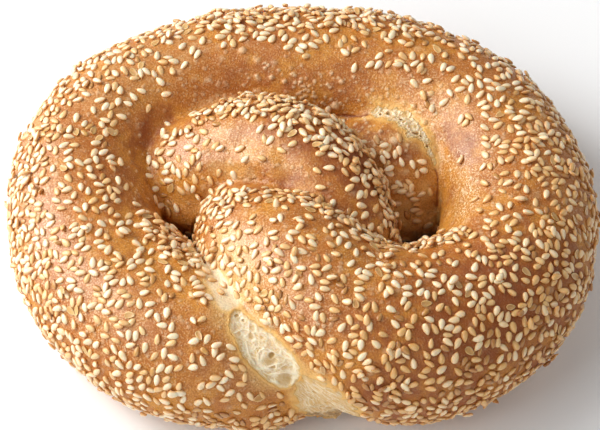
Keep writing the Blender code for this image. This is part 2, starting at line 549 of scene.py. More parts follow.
class Signal:
    """A node's output that Python's operators work on, each adding its Math node."""

    def __init__(self, bench: "Bench", socket: NodeSocket) -> None:
        """Wrap one output socket of the bench's tree."""
        self.bench = bench
        self.socket = socket

    def __add__(self, other: "Signal | float") -> "Signal":
        """Return self + other."""
        return self.bench.maths("ADD", self, other)

    def __radd__(self, other: float) -> "Signal":
        """Return other + self."""
        return self.bench.maths("ADD", other, self)

    def __sub__(self, other: "Signal | float") -> "Signal":
        """Return self - other."""
        return self.bench.maths("SUBTRACT", self, other)

    def __rsub__(self, other: float) -> "Signal":
        """Return other - self."""
        return self.bench.maths("SUBTRACT", other, self)

    def __mul__(self, other: "Signal | float") -> "Signal":
        """Return self * other."""
        return self.bench.maths("MULTIPLY", self, other)

    def __rmul__(self, other: float) -> "Signal":
        """Return other * self."""
        return self.bench.maths("MULTIPLY", other, self)

    def __rtruediv__(self, other: float) -> "Signal":
        """Return other / self."""
        return self.bench.maths("DIVIDE", other, self)

    def __gt__(self, other: "Signal | float") -> "Signal":
        """Return 1 where self is above other, and 0 elsewhere."""
        return self.bench.maths("GREATER_THAN", self, other)

    def output(self, name: str) -> "Signal":
        """Return another output of the same node, by the name that is shown."""
        outputs = self.socket.node.outputs
        return Signal(self.bench, next(s for s in outputs if s.enabled and s.name == name))

    def clamped(self) -> "Signal":
        """Return the signal held between 0 and 1."""
        return self.bench.maths("MULTIPLY", self, 1.0, use_clamp=True)

    def eased(self, low: float, high: float) -> "Signal":
        """Return the signal eased from 0 at low to 1 at high."""
        return self.bench.add(
            "ShaderNodeMapRange",
            {"interpolation_type": "SMOOTHSTEP", "clamp": True},
            {"Value": self, "From Min": low, "From Max": high},
        )


class Bench:
    """Adds nodes to one node tree."""

    splitter = "ShaderNodeSeparateColor"  # the node that takes a colour apart in such a tree

    def __init__(self, tree: NodeTree) -> None:
        """Work on this tree."""
        self.tree = tree

    def add(
        self,
        kind: str,
        settings: dict[str, Any] | None = None,
        inputs: dict[str | int, Any] | None = None,
    ) -> Signal:
        """Add a node of any type.

        Args:
            kind: The node's type name.
            settings: The node's own settings, which are set first.
            inputs: Values or signals for its sockets, by name, identifier or number.

        Returns:
            The new node's first output that is in use.
        """
        node = self.tree.nodes.new(kind)
        for name, value in (settings or {}).items():
            setattr(node, name, value)
        self.fill(node, inputs or {})
        return Signal(self, next(s for s in node.outputs if s.enabled))

    def fill(self, node: Node, inputs: dict[str | int, Any]) -> None:
        """Set or link a node's inputs.

        Args:
            node: The node.
            inputs: Values or signals for its sockets, by shown name, identifier or number.
        """
        for key, value in inputs.items():
            shown = [s for s in node.inputs if s.enabled and s.name == key]
            exact = [s for s in node.inputs if s.identifier == key]
            socket = node.inputs[key] if isinstance(key, int) else (shown or exact)[0]
            if isinstance(value, Signal):
                self.tree.links.new(value.socket, socket)
            else:
                socket.default_value = (*value, 1.0) if socket.type == "RGBA" else value

    def maths(
        self, operation: str, first: Signal | float, second: Signal | float, use_clamp: bool = False
    ) -> Signal:
        """Return the result of a Math node on two values."""
        settings = {"operation": operation, "use_clamp": use_clamp}
        return self.add("ShaderNodeMath", settings, {0: first, 1: second})

    def scaled(self, vector: Signal, factor: Signal) -> Signal:
        """Return a vector times a number."""
        inputs = {0: vector, "Scale": factor}
        return self.add("ShaderNodeVectorMath", {"operation": "SCALE"}, inputs)

    def mix(self, factor: Signal | float, low: Signal | Colour, high: Signal | Colour) -> Signal:
        """Return a colour between low and high."""
        return self.add(
            "ShaderNodeMix",
            {"data_type": "RGBA", "clamp_factor": True},
            {"Factor_Float": factor, "A_Color": low, "B_Color": high},
        )

    def noise(
        self, place: Signal, size: Signal | float, detail: float = 2.0, rough: float = 0.5
    ) -> Signal:
        """Return soft noise from 0 to 1, with features of this size in metres."""
        return self.add(
            "ShaderNodeTexNoise",
            inputs={"Vector": place, "Scale": 1 / size, "Detail": detail, "Roughness": rough},
        )

    def cells(self, place: Signal, size: Signal | float, feature: str = "F1") -> Signal:
        """Return how far each place is from its cell's middle, for cells of this size."""
        return self.add(
            "ShaderNodeTexVoronoi", {"feature": feature}, {"Vector": place, "Scale": 1 / size}
        )

    def spots(
        self, place: Signal, size: Signal | float, edge: tuple[float, float], least: float
    ) -> Signal:
        """Return round spots on a part of the cells.

        Args:
            place: The place.
            size: The cells' size, in metres.
            edge: Where a spot's edge begins and ends, in shares of a cell.
            least: The random number that a cell needs to have a spot.

        Returns:
            1 in a spot's middle, falling to 0 at its edge.
        """
        cells = self.cells(place, size)
        pick = self.add(self.splitter, inputs={0: cells.output("Color")})
        return (1 - cells.eased(*edge)) * (pick > least)


class GeometryBench(Bench):
    """A bench for a Geometry Nodes tree with named inputs."""

    splitter = "FunctionNodeSeparateColor"

    def __init__(self, name: str, given: dict[str, str]) -> None:
        """Start a tree.

        Args:
            name: The tree's name.
            given: The type of each named input that follows the geometry.
        """
        super().__init__(bpy.data.node_groups.new(name, "GeometryNodeTree"))
        face = self.tree.interface
        face.new_socket("Geometry", in_out="INPUT", socket_type="NodeSocketGeometry")
        for label, kind in {**given, "Material": "NodeSocketMaterial"}.items():
            face.new_socket(label, in_out="INPUT", socket_type=kind)
        face.new_socket("Geometry", in_out="OUTPUT", socket_type="NodeSocketGeometry")
        self.group_input = self.tree.nodes.new("NodeGroupInput")

    def given(self, name: str) -> Signal:
        """Return one of the tree's named inputs."""
        return Signal(self, self.group_input.outputs[name])

    def stored(self, name: str, data_type: str = "FLOAT") -> Signal:
        """Return a named attribute."""
        settings = {"data_type": data_type}
        return self.add("GeometryNodeInputNamedAttribute", settings, {"Name": name})

    def store(
        self, geometry: Signal, name: str, value: Signal, data_type: str = "FLOAT"
    ) -> Signal:
        """Return the geometry with a value stored on each of its points."""
        return self.add(
            "GeometryNodeStoreNamedAttribute",
            {"data_type": data_type, "domain": "POINT"},
            {"Geometry": geometry, "Name": name, "Value": value},
        )

    def finish(self, geometry: Signal) -> NodeTree:
        """End the tree: realize the instances and set the material."""
        real = self.add("GeometryNodeRealizeInstances", inputs={0: geometry})
        inputs = {"Geometry": real, "Material": self.given("Material")}
        dressed = self.add("GeometryNodeSetMaterial", inputs=inputs)
        self.fill(self.tree.nodes.new("NodeGroupOutput"), {0: dressed})
        return self.tree


def run_tree(
    name: str, data: bpy.types.ID, tree: NodeTree, values: dict[str, Any]
) -> Mesh:
    """Run a Geometry Nodes tree on some data and keep the plain mesh.

    Args:
        name: The result's name.
        data: The mesh or curve that the tree starts from.
        tree: The tree.
        values: A value for each of the tree's named inputs.

    Returns:
        The mesh that the tree makes.
    """
    obj = linked_object(name, data)
    modifier = obj.modifiers.new(tree.name, "NODES")
    modifier.node_group = tree
    for item in tree.interface.items_tree:
        if item.in_out == "INPUT" and item.name in values:
            modifier[item.identifier] = values[item.name]
    return plain_mesh(obj)


# ---- finishes


def new_material(name: str) -> tuple[Material, Bench, Node]:
    """Return a new material, a bench on its tree, and its main shader."""
    material = bpy.data.materials.new(name)
    material.use_nodes = True
    bench = Bench(material.node_tree)
    return material, bench, material.node_tree.nodes["Principled BSDF"]


def object_place(bench: Bench) -> Signal:
    """Return the place on the object, in metres."""
    return bench.add("ShaderNodeTexCoord").output("Object")


def painted(bench: Bench, name: str) -> Signal:
    """Return a number that is stored on the mesh."""
    return bench.add("ShaderNodeAttribute", {"attribute_name": name}).output("Fac")


def bumped(bench: Bench, height: Signal, distance: float, strength: float) -> Signal:
    """Return a normal bent by a height from 0 to 1 that stands for distance metres."""
    inputs = {"Height": height, "Distance": distance, "Strength": strength}
    return bench.add("ShaderNodeBump", inputs=inputs)


@dataclass(frozen=True)
class CrustFinish:
    """Baked crust: mottled gold and brown, pale creases, tiny blisters, painted fold shade, painted
    sheen.
    """

    golden: Colour = (0.660, 0.268, 0.024)
    amber: Colour = (0.490, 0.155, 0.011)
    brown: Colour = (0.262, 0.052, 0.004)
    # painted shade along the folds' lines, where the bake passes 1
    fold: Colour = (0.060, 0.018, 0.004)
    # paler crust, partly painted sheen on flanks that face the lamps
    pale: Colour = (0.850, 0.540, 0.195)
    raw: Colour = (0.970, 0.800, 0.520)
    # pale blisters, and grain whitened as painted sheen where the crust faces the lamps
    bubble: Colour = (0.920, 0.720, 0.450)
    rim: Colour = (0.820, 0.470, 0.130)
    tray: Colour = (0.300, 0.150, 0.060)
    gloss: Colour = (1.0, 0.97, 0.86)
    patch_size: float = 14 * MM  # of the patches that baked unevenly
    mottle_size: float = 3.5 * MM
    grain_size: float = 0.45 * MM
    speck_size: float = 0.75 * MM  # of the cells that the finest blisters sit in
    bubble_size: float = 1.9 * MM  # of the cells that the larger ones sit in
    spot_edge: tuple[float, float] = (0.12, 0.42)  # in shares of a cell
    least_speck: float = 0.40  # a cell's random number, from which it has a blister
    least_bubble: float = 0.55
    grain_painted_sheen: float = 0.52  # how white the grain is painted, as sheen, on the side that faces the lamps
    spot_frost: float = 0.24  # how white the blisters look
    relief: float = 0.20 * MM
    relief_strength: float = 0.75
    roughness: float = 0.46
    coat: float = 0.3
    coat_roughness: float = 0.32
    coat_ior: float = 1.62
    specular: float = 0.60
    scatter: float = 0.08
    scatter_reach: Point = (1.0, 0.45, 0.18)
    scatter_scale: float = 1.2 * MM

    def material(self) -> Material:
        """Return the crust's material."""
        material, bench, shader = new_material("baked_crust")
        place = object_place(bench)
        broad = bench.noise(place, self.patch_size, 3.0)
        mottle = bench.noise(place, self.mottle_size, 4.0, 0.6)
        grain = bench.noise(place, self.grain_size, 2.0, 0.65)
        specks = bench.spots(place, self.speck_size, self.spot_edge, self.least_speck)
        bubbles = bench.spots(place, self.bubble_size, self.spot_edge, self.least_bubble)
        # The bake here carries painted shade, and the gloss painted sheen.
        scorch, sheen_and_gloss, pale = (painted(bench, name) for name in (BAKE_AND_SHADE, GLOSS_AND_SHEEN, PALE))

        heat = broad * 1.3 + mottle * 0.6 + painted(bench, OPEN) * 0.25
        colour = bench.mix(heat.eased(0.85, 1.3), self.golden, self.amber)
        # Browner with the bake, which is partly painted shade.
        dark = scorch * 0.8 + (mottle - 0.5) * 0.8 + (broad - 0.5) * 0.9
        colour = bench.mix(dark.eased(0.1, 0.9) * 0.9, colour, self.brown)
        # Painted shade: the folds' lines turn to the fold colour.
        colour = bench.mix(scorch.eased(1.0, 1.5), colour, self.fold)
        paleness = (pale + (mottle - 0.5) * 0.5).eased(0.1, 0.9)
        colour = bench.mix(paleness, colour, self.pale)
        colour = bench.mix(pale.eased(0.9, 1.5), colour, self.raw)
        freckles = (0.56 - grain).eased(0.0, 0.20) * (0.42 - paleness * 0.20)
        colour = bench.mix(freckles, colour, self.brown)
        # The grain is whitened where the crust faces the lamps: painted sheen.
        sheen_and_blisters = grain.eased(0.52, 0.64) * (sheen_and_gloss * self.grain_painted_sheen + 0.03)
        sheen_and_blisters = sheen_and_blisters + specks * self.spot_frost + bubbles * self.spot_frost
        sheen_and_blisters = sheen_and_blisters * (1 - scorch * 0.85)
        raised = painted(bench, BLISTER) * 0.3 + painted(bench, BUBBLE) * 0.5
        colour = bench.mix((sheen_and_blisters + raised).clamped(), colour, self.bubble)
        colour = bench.mix(painted(bench, RIM), colour, self.rim)
        colour = bench.mix(painted(bench, TRAY), colour, self.tray)

        height = specks * 0.5 + bubbles * 1.0 + grain * 1.15 + mottle * 1.0
        shine = (sheen_and_gloss - scorch * 0.6).clamped()
        bench.fill(shader, {
            "Base Color": colour,
            "Roughness": (grain - shine) * 0.2 + self.roughness,
            "Normal": bumped(bench, height, self.relief, self.relief_strength),
            "Coat Weight": shine * self.coat,
            "Coat Roughness": self.coat_roughness,
            "Coat IOR": self.coat_ior,
            "Specular IOR Level": self.specular,
            "Specular Tint": self.gloss,
            "Subsurface Weight": self.scatter,
            "Subsurface Radius": self.scatter_reach,
            "Subsurface Scale": self.scatter_scale,
        })
        return material


@dataclass(frozen=True)
class CrumbFinish:
    """Torn crumb: cream cell walls, golden films and hollows with painted shade, a scorched lower edge.
    """

    wall: Colour = (0.950, 0.850, 0.650)
    film: Colour = (0.740, 0.480, 0.175)
    # the film's golden tone deepened by painted shade in the hollows and holes
    hollow: Colour = (0.480, 0.270, 0.065)
    edge: Colour = (0.700, 0.420, 0.140)
    scorch: Colour = (0.360, 0.200, 0.070)
    streak_size: float = 1.6 * MM
    grain_size: float = 0.45 * MM
    pore_size: float = 0.55 * MM
    relief: float = 0.14 * MM
    relief_strength: float = 0.6
    roughness: float = 0.23
    scatter: float = 0.35
    scatter_reach: Point = (1.0, 0.7, 0.35)
    scatter_scale: float = 2.0 * MM

    def material(self) -> Material:
        """Return the crumb's material."""
        material, bench, shader = new_material("torn_crumb")
        place = object_place(bench)
        streaks = bench.noise(place, self.streak_size, 4.0, 0.65)
        fine = bench.noise(place, self.grain_size, 2.0, 0.6)
        pores = bench.cells(place, self.pore_size, "SMOOTH_F1")
        rim = painted(bench, RIM)
        colour = bench.mix(streaks.eased(0.36, 0.70) * 0.72, self.film, self.wall)
        colour = bench.mix(painted(bench, WALL) * 0.85, colour, self.wall)
        # Painted shade in the hollows and holes, over the film's tone.
        deep = painted(bench, PIT_SHADE) + (fine - 0.5) * 0.2
        colour = bench.mix(deep.eased(0.05, 1.0), colour, self.hollow)
        colour = bench.mix(rim, colour, self.edge)
        colour = bench.mix(painted(bench, SCORCH) * streaks.eased(0.3, 0.6), colour, self.scorch)
        height = fine * 0.4 + (1 - pores.eased(0.1, 0.5)) * 0.25 + streaks * 0.6
        bench.fill(shader, {
            "Base Color": colour,
            "Roughness": fine * 0.3 + self.roughness,
            "Normal": bumped(bench, height * (1 - rim), self.relief, self.relief_strength),
            "Subsurface Weight": self.scatter,
            "Subsurface Radius": self.scatter_reach,
            "Subsurface Scale": self.scatter_scale,
        })
        return material


@dataclass(frozen=True)
class SeedFinish:
    """Sesame: a satin skin, browner at the tip, its rims and underside darker: translucency and painted
    shade.
    """

    name: str
    light: Colour
    dark: Colour
    # also put on the rims and underside, partly as their translucent edge, partly as painted shade
    tip: Colour
    mottle_size: float = 0.9 * MM
    grain_size: float = 0.5 * MM
    relief: float = 0.05 * MM
    relief_strength: float = 0.5
    roughness: float = 0.26
    coat: float = 0.6
    coat_roughness: float = 0.30
    scatter: float = 0.30
    scatter_reach: Point = (1.0, 0.6, 0.3)
    scatter_scale: float = 0.9 * MM

    def material(self) -> Material:
        """Return this kind of seed's material."""
        material, bench, shader = new_material(self.name)
        place = object_place(bench)
        mottle = bench.noise(place, self.mottle_size, 2.0)
        shade = (painted(bench, TINT) * 0.8 + (mottle - 0.5) * 0.9).clamped()
        colour = bench.mix(shade, self.light, self.dark)
        ends = painted(bench, ALONG).eased(0.70, 1.0) * 0.6
        rim_shade = painted(bench, EDGE_SHADE).eased(0.45, 1.0) * 0.80
        grain = bench.noise(place, self.grain_size)
        bench.fill(shader, {
            "Base Color": bench.mix((ends + rim_shade).clamped(), colour, self.tip),
            "Roughness": mottle * 0.2 + self.roughness,
            "Normal": bumped(bench, grain, self.relief, self.relief_strength),
            "Coat Weight": self.coat,
            "Coat Roughness": self.coat_roughness,
            "Subsurface Weight": self.scatter,
            "Subsurface Radius": self.scatter_reach,
            "Subsurface Scale": self.scatter_scale,
        })
        return material


# ---- the dough


@dataclass(frozen=True)
class Dough:
    """The loaf's skin before it tears: the rope's turns merged into one body."""

    strands: tuple[tuple[Station, ...], ...] = (ROPE, SHUT_GAP, FRONT_BURST)
    curve_steps: int = 12
    sides: int = 44
    grain: float = 0.96  # mm, at which the turns are merged
    crease_rounds: int = 7
    base_round: float = 1.6  # mm, how softly the skin meets the tray
    swellings: tuple[Swelling, ...] = SWELLINGS

    def strand_curve(self) -> Curve:
        """Return the strands' centre lines, with the dough's radius at each station."""
        curve = bpy.data.curves.new("strands", "CURVE")
        curve.dimensions = "3D"
        curve.resolution_u = self.curve_steps
        for strand in self.strands:
            spline = curve.splines.new("BEZIER")
            spline.bezier_points.add(len(strand) - 1)
            for point, station in zip(spline.bezier_points, strand):
                point.co = to_part(np.array((station.x, station.y, station.z)))
                point.radius = station.radius * MM
                point.handle_left_type = "AUTO"
                point.handle_right_type = "AUTO"
        return curve

    @staticmethod
    def tube_tree() -> NodeTree:
        """Return the tree that turns centre lines into closed tubes of dough."""
        bench = GeometryBench("dough_tubes", {"Sides": "NodeSocketInt"})
        ring = bench.add(
            "GeometryNodeCurvePrimitiveCircle",
            inputs={"Resolution": bench.given("Sides"), "Radius": 1.0},
        )
        tubes = bench.add(
            "GeometryNodeCurveToMesh",
            inputs={
                "Curve": bench.given("Geometry"),
                "Profile Curve": ring,
                "Scale": bench.add("GeometryNodeInputRadius"),
                "Fill Caps": True,
            },
        )
        inputs = {"Geometry": tubes, "Distance": WELD}
        return bench.finish(bench.add("GeometryNodeMergeByDistance", inputs=inputs))

    @staticmethod
    def merged(tubes: Mesh, grain: float, rounds: int) -> Mesh:
        """Merge closed tubes into one skin.

        Args:
            tubes: The tubes of dough.
            grain: The size of the skin's faces, in mm.
            rounds: How often the skin is smoothed.

        Returns:
            The merged skin.
        """
        obj = linked_object("dough", tubes.copy())
        merge = obj.modifiers.new("one_skin", "REMESH")
        merge.mode = "VOXEL"
        merge.voxel_size = grain * MM
        smooth = obj.modifiers.new("soft_creases", "SMOOTH")
        smooth.iterations = rounds
        return plain_mesh(obj)

    def laid_on_tray(self, points: Array) -> Array:
        """Return the points with what would be below the tray pressed flat onto it."""
        laid = points.copy()
        height = points[:, 2]
        laid[:, 2] = (height + np.sqrt(height**2 + (self.base_round * MM) ** 2)) / 2
        laid[:, 2] -= laid[:, 2].min()
        return laid

    def build(self, material: Material) -> Mesh:
        """Return the loaf's smooth skin, flat where it lies on the tray."""
        tubes = run_tree(
            "tubes", self.strand_curve(), self.tube_tree(),
            {"Sides": self.sides, "Material": material},
        )
        skin = self.merged(tubes, self.grain, self.crease_rounds)
        points = read_points(skin)
        places, normals = to_layout(points), read_normals(skin)
        swell = sum(swelling.rise(places, normals) for swelling in self.swellings)
        points += normals * swell[:, None] * MM
        write_points(skin, self.laid_on_tray(points))
        bpy.data.meshes.remove(tubes)
        return skin


@dataclass(frozen=True)
class Daylight:
    """How much open space each place on the loaf sees."""

    probe_grain: float = 2.4  # mm
    rays: int = 40
    reach: float = 70.0  # mm
    lift: float = 0.6  # mm off the skin, from where the rays start
    neighbours: int = 4  # probed points that each point of the skin takes its number from
    nearest: float = 0.3  # mm, so that one very near point doesn't outweigh the rest
    rounds: int = 6  # how often the result is evened

    def directions(self) -> Array:
        """Return directions spread over a half ball about +Z, denser near the middle."""
        count = np.arange(self.rays) + 0.5
        radius = np.sqrt(count / self.rays)
        turn = count * math.pi * (3 - math.sqrt(5))
        rise = np.sqrt(np.maximum(0, 1 - radius**2))
        return np.stack((radius * np.cos(turn), radius * np.sin(turn), rise), axis=1)

    def measure(self, dough: Dough, skin: Mesh) -> Array:
        """Say how open each point of the skin is.

        Args:
            dough: Makes the coarser skin that is probed.
            skin: The loaf's skin.

        Returns:
            A number for each point, from 0 in a tight crease to 1 in the open.
        """
        probe = dough.merged(skin, self.probe_grain, 2)
        tree = mesh_tree(probe)
        spread = self.directions()
        points, normals = read_points(probe), read_normals(probe)
        kd = KDTree(len(points))
        seen = np.zeros(len(points))
        for number, (point, normal) in enumerate(zip(points, normals)):
            kd.insert(point, number)
            turn = np.array(Vector(normal).to_track_quat("Z", "Y").to_matrix())
            start = Vector(point + normal * self.lift * MM)
            hits = [
                tree.ray_cast(start, Vector(way), self.reach * MM)[0] is not None
                for way in spread @ turn.T
            ]
            seen[number] = 1 - sum(hits) / self.rays
        kd.balance()
        values = np.empty(len(skin.vertices))
        for number, point in enumerate(read_points(skin)):
            found = kd.find_n(point, self.neighbours)
            weights = np.array([1 / (away + self.nearest * MM) for _, _, away in found])
            values[number] = weights @ seen[[index for _, index, _ in found]] / weights.sum()
        bpy.data.meshes.remove(probe)
        return soften(skin, values, self.rounds)


# ---- the tears


class CrumbStyle(Enum):
    """How a tear's crumb is built: cell sizes in mm at its two ends, and their stretch."""

    HONEYCOMB = (1.3, 4.2, 1.4)
    FIBROUS = (1.8, 2.4, 4.0)
    POROUS = (1.5, 1.3, 1.2)


@dataclass(frozen=True)
class Hole:
    """One cell of the crumb that stands out, in mm, and how dark it is painted, as shade in the hole."""

    centre: Point
    radius: float
    depth: float
    dark: float = 1.0


@dataclass(frozen=True)
class Thread:
    """A fine filament of dough stretched over the crumb, in mm."""

    path: tuple[Point, ...]
    width: float = 0.16


@dataclass(frozen=True)
class Tear:
    """A place where the crust burst open, with its sizes in mm."""

    name: str
    outline: tuple[Point, ...]
    facing: Point
    style: CrumbStyle
    holes: tuple[Hole, ...]
    seed: int
    reach: float = 9.0  # how far from the outline's plane the crust still belongs to it
    hollow: float = 2.6  # how deep the crust is pushed in beneath the crumb
    lip: float = 0.30  # how far the rim of the crust stands up
    lip_width: float = 0.50
    halo: float = 0.6  # how far its golden rim spreads
    ragged: float = 0.35  # how far its edge wanders
    wander_size: float = 1.6  # how long each turn of that edge is
    toast: float = 0.0  # how far the crumb is toasted all over
    sink: float = 0.7  # how far the crumb lies below the crust
    relief: float = 1.0  # depth of its cells, as a share of what the style gives
    shade: float = 0.6  # how dark its darkest cells are painted, as shade
    spacing: float = 0.16  # of the crumb's grid
    tuck: float = 0.9  # how far the crumb runs on beneath the lip
    depth: float = 3.2  # of the crumb's piece
    scorched_below: float = -1.0  # height under which the edge is scorched
    fan: Point | None = None  # where its strands fan out from, or None for even ones
    strand: tuple[float, float] = (0.9, 3.0)  # a strand's width, and its length in widths
    strand_height: float = 0.22
    across: bool = False  # the strands run across the tear
    threads: tuple[Thread, ...] = ()
    roughness: float = 0.10  # mm, of the crumb's finest lumps

    def axes(self) -> tuple[Array, Array]:
        """Return the outline's middle, and the tear's long, cross and facing directions."""
        corners = np.array(self.outline, float)
        middle = corners.mean(axis=0)
        facing = unit(np.array(self.facing, float))
        flat = (corners - middle) - ((corners - middle) @ facing)[:, None] * facing
        long = np.linalg.svd(flat)[2][0]
        long = long if long @ flat[0] < 0 else -long
        return middle, np.stack((long, np.cross(facing, long), facing))

    def flat_outline(self) -> Array:
        """Return the outline in the tear's plane, rounded between its corners."""
        return rounded(self.to_plane(self.outline), 2, closed=True)

    def edge_distance(self, flat: Array) -> Array:
        """Return each flat point's distance to the outline, negative inside it."""
        ring = self.flat_outline()
        away = np.full(len(flat), np.inf)
        inside = np.zeros(len(flat), bool)
        for start, end in zip(ring, np.roll(ring, -1, axis=0)):
            side = end - start
            away = np.minimum(away, segment_distance(flat, start, end))
            crosses = (start[1] > flat[:, 1]) != (end[1] > flat[:, 1])
            rise = side[1] if abs(side[1]) > 1e-12 else 1e-12
            at = start[0] + (flat[:, 1] - start[1]) / rise * side[0]
            inside ^= crosses & (flat[:, 0] < at)
        return np.where(inside, -away, away)

    def distance(self, places: Array, normals: Array) -> Array:
        """Return how far places on the crust are from the tear's edge, negative inside."""
        middle, turn = self.axes()
        local = (places - middle) @ turn.T
        distance = np.full(len(places), FAR)
        near = (np.abs(local[:, 2]) < self.reach) & (normals @ turn[2] > 0.1)
        distance[near] = self.edge_distance(local[near, :2])
        return distance + self.wander(places)

    def wander(self, places: Array) -> Array:
        """Return how far the tear's edge strays outwards at each place."""
        return self.ragged * wobble(places, self.wander_size)

    def to_plane(self, places: Any) -> Array:
        """Return the two coordinates of one or more places in the tear's plane."""
        middle, turn = self.axes()
        return ((np.array(places, float) - middle) @ turn.T)[..., :2]


CELL_TRIES = 6000  # random places that are tried for a tear's cells
CELL_GAP = 0.42  # least distance of two cells, as a share of their sizes' sum
CELL_SPREAD = (0.65, 1.35)  # smallest and largest cell, against the usual one
CELL_GROWTH = 1.2  # above 1, the cells grow mostly near the tear's far end


def cell_sites(
    rng: np.random.Generator, low: Array, high: Array, style: CrumbStyle
) -> tuple[Array, Array]:
    """Scatter the middles of the crumb's cells.

    Args:
        rng: The tear's own random numbers.
        low: The lowest corner of the tear's plane, in mm.
        high: The highest corner.
        style: The cells' sizes at the two ends.

    Returns:
        The cells' middles and their sizes.
    """
    first, last, _ = style.value
    sites: list[Array] = []
    sizes: list[float] = []
    for _ in range(CELL_TRIES):
        site = low + rng.random(2) * (high - low)
        share = (site[0] - low[0]) / (high[0] - low[0])
        size = (first + (last - first) * share**CELL_GROWTH) * rng.uniform(*CELL_SPREAD)
        if all(np.linalg.norm(site - s) > CELL_GAP * (size + z) for s, z in zip(sites, sizes)):
            sites.append(site)
            sizes.append(size)
    return np.array(sites), np.array(sizes)


def two_nearest(
    flat: Array, sites: Array, sizes: Array, stretch: float
) -> tuple[Array, Array, Array]:
    """Find the two nearest cells of each point, measured in the cells' own sizes.

    Args:
        flat: Points in the tear's plane.
        sites: The cells' middles.
        sizes: The cells' sizes.
        stretch: How much longer a cell is along the tear than across it.

    Returns:
        The nearest cell's number, and the distances to the nearest and the second.
    """
    best = np.full(len(flat), np.inf)
    second = np.full(len(flat), np.inf)
    index = np.zeros(len(flat), int)
    squash = np.array((1 / math.sqrt(stretch), math.sqrt(stretch)))
    for number, (site, size) in enumerate(zip(sites, sizes)):
        away = np.linalg.norm((flat - site) * squash, axis=1) / size
        closer = away < best
        second = np.where(closer, best, np.minimum(second, away))
        index[closer] = number
        best = np.minimum(best, away)
    return index, best, second


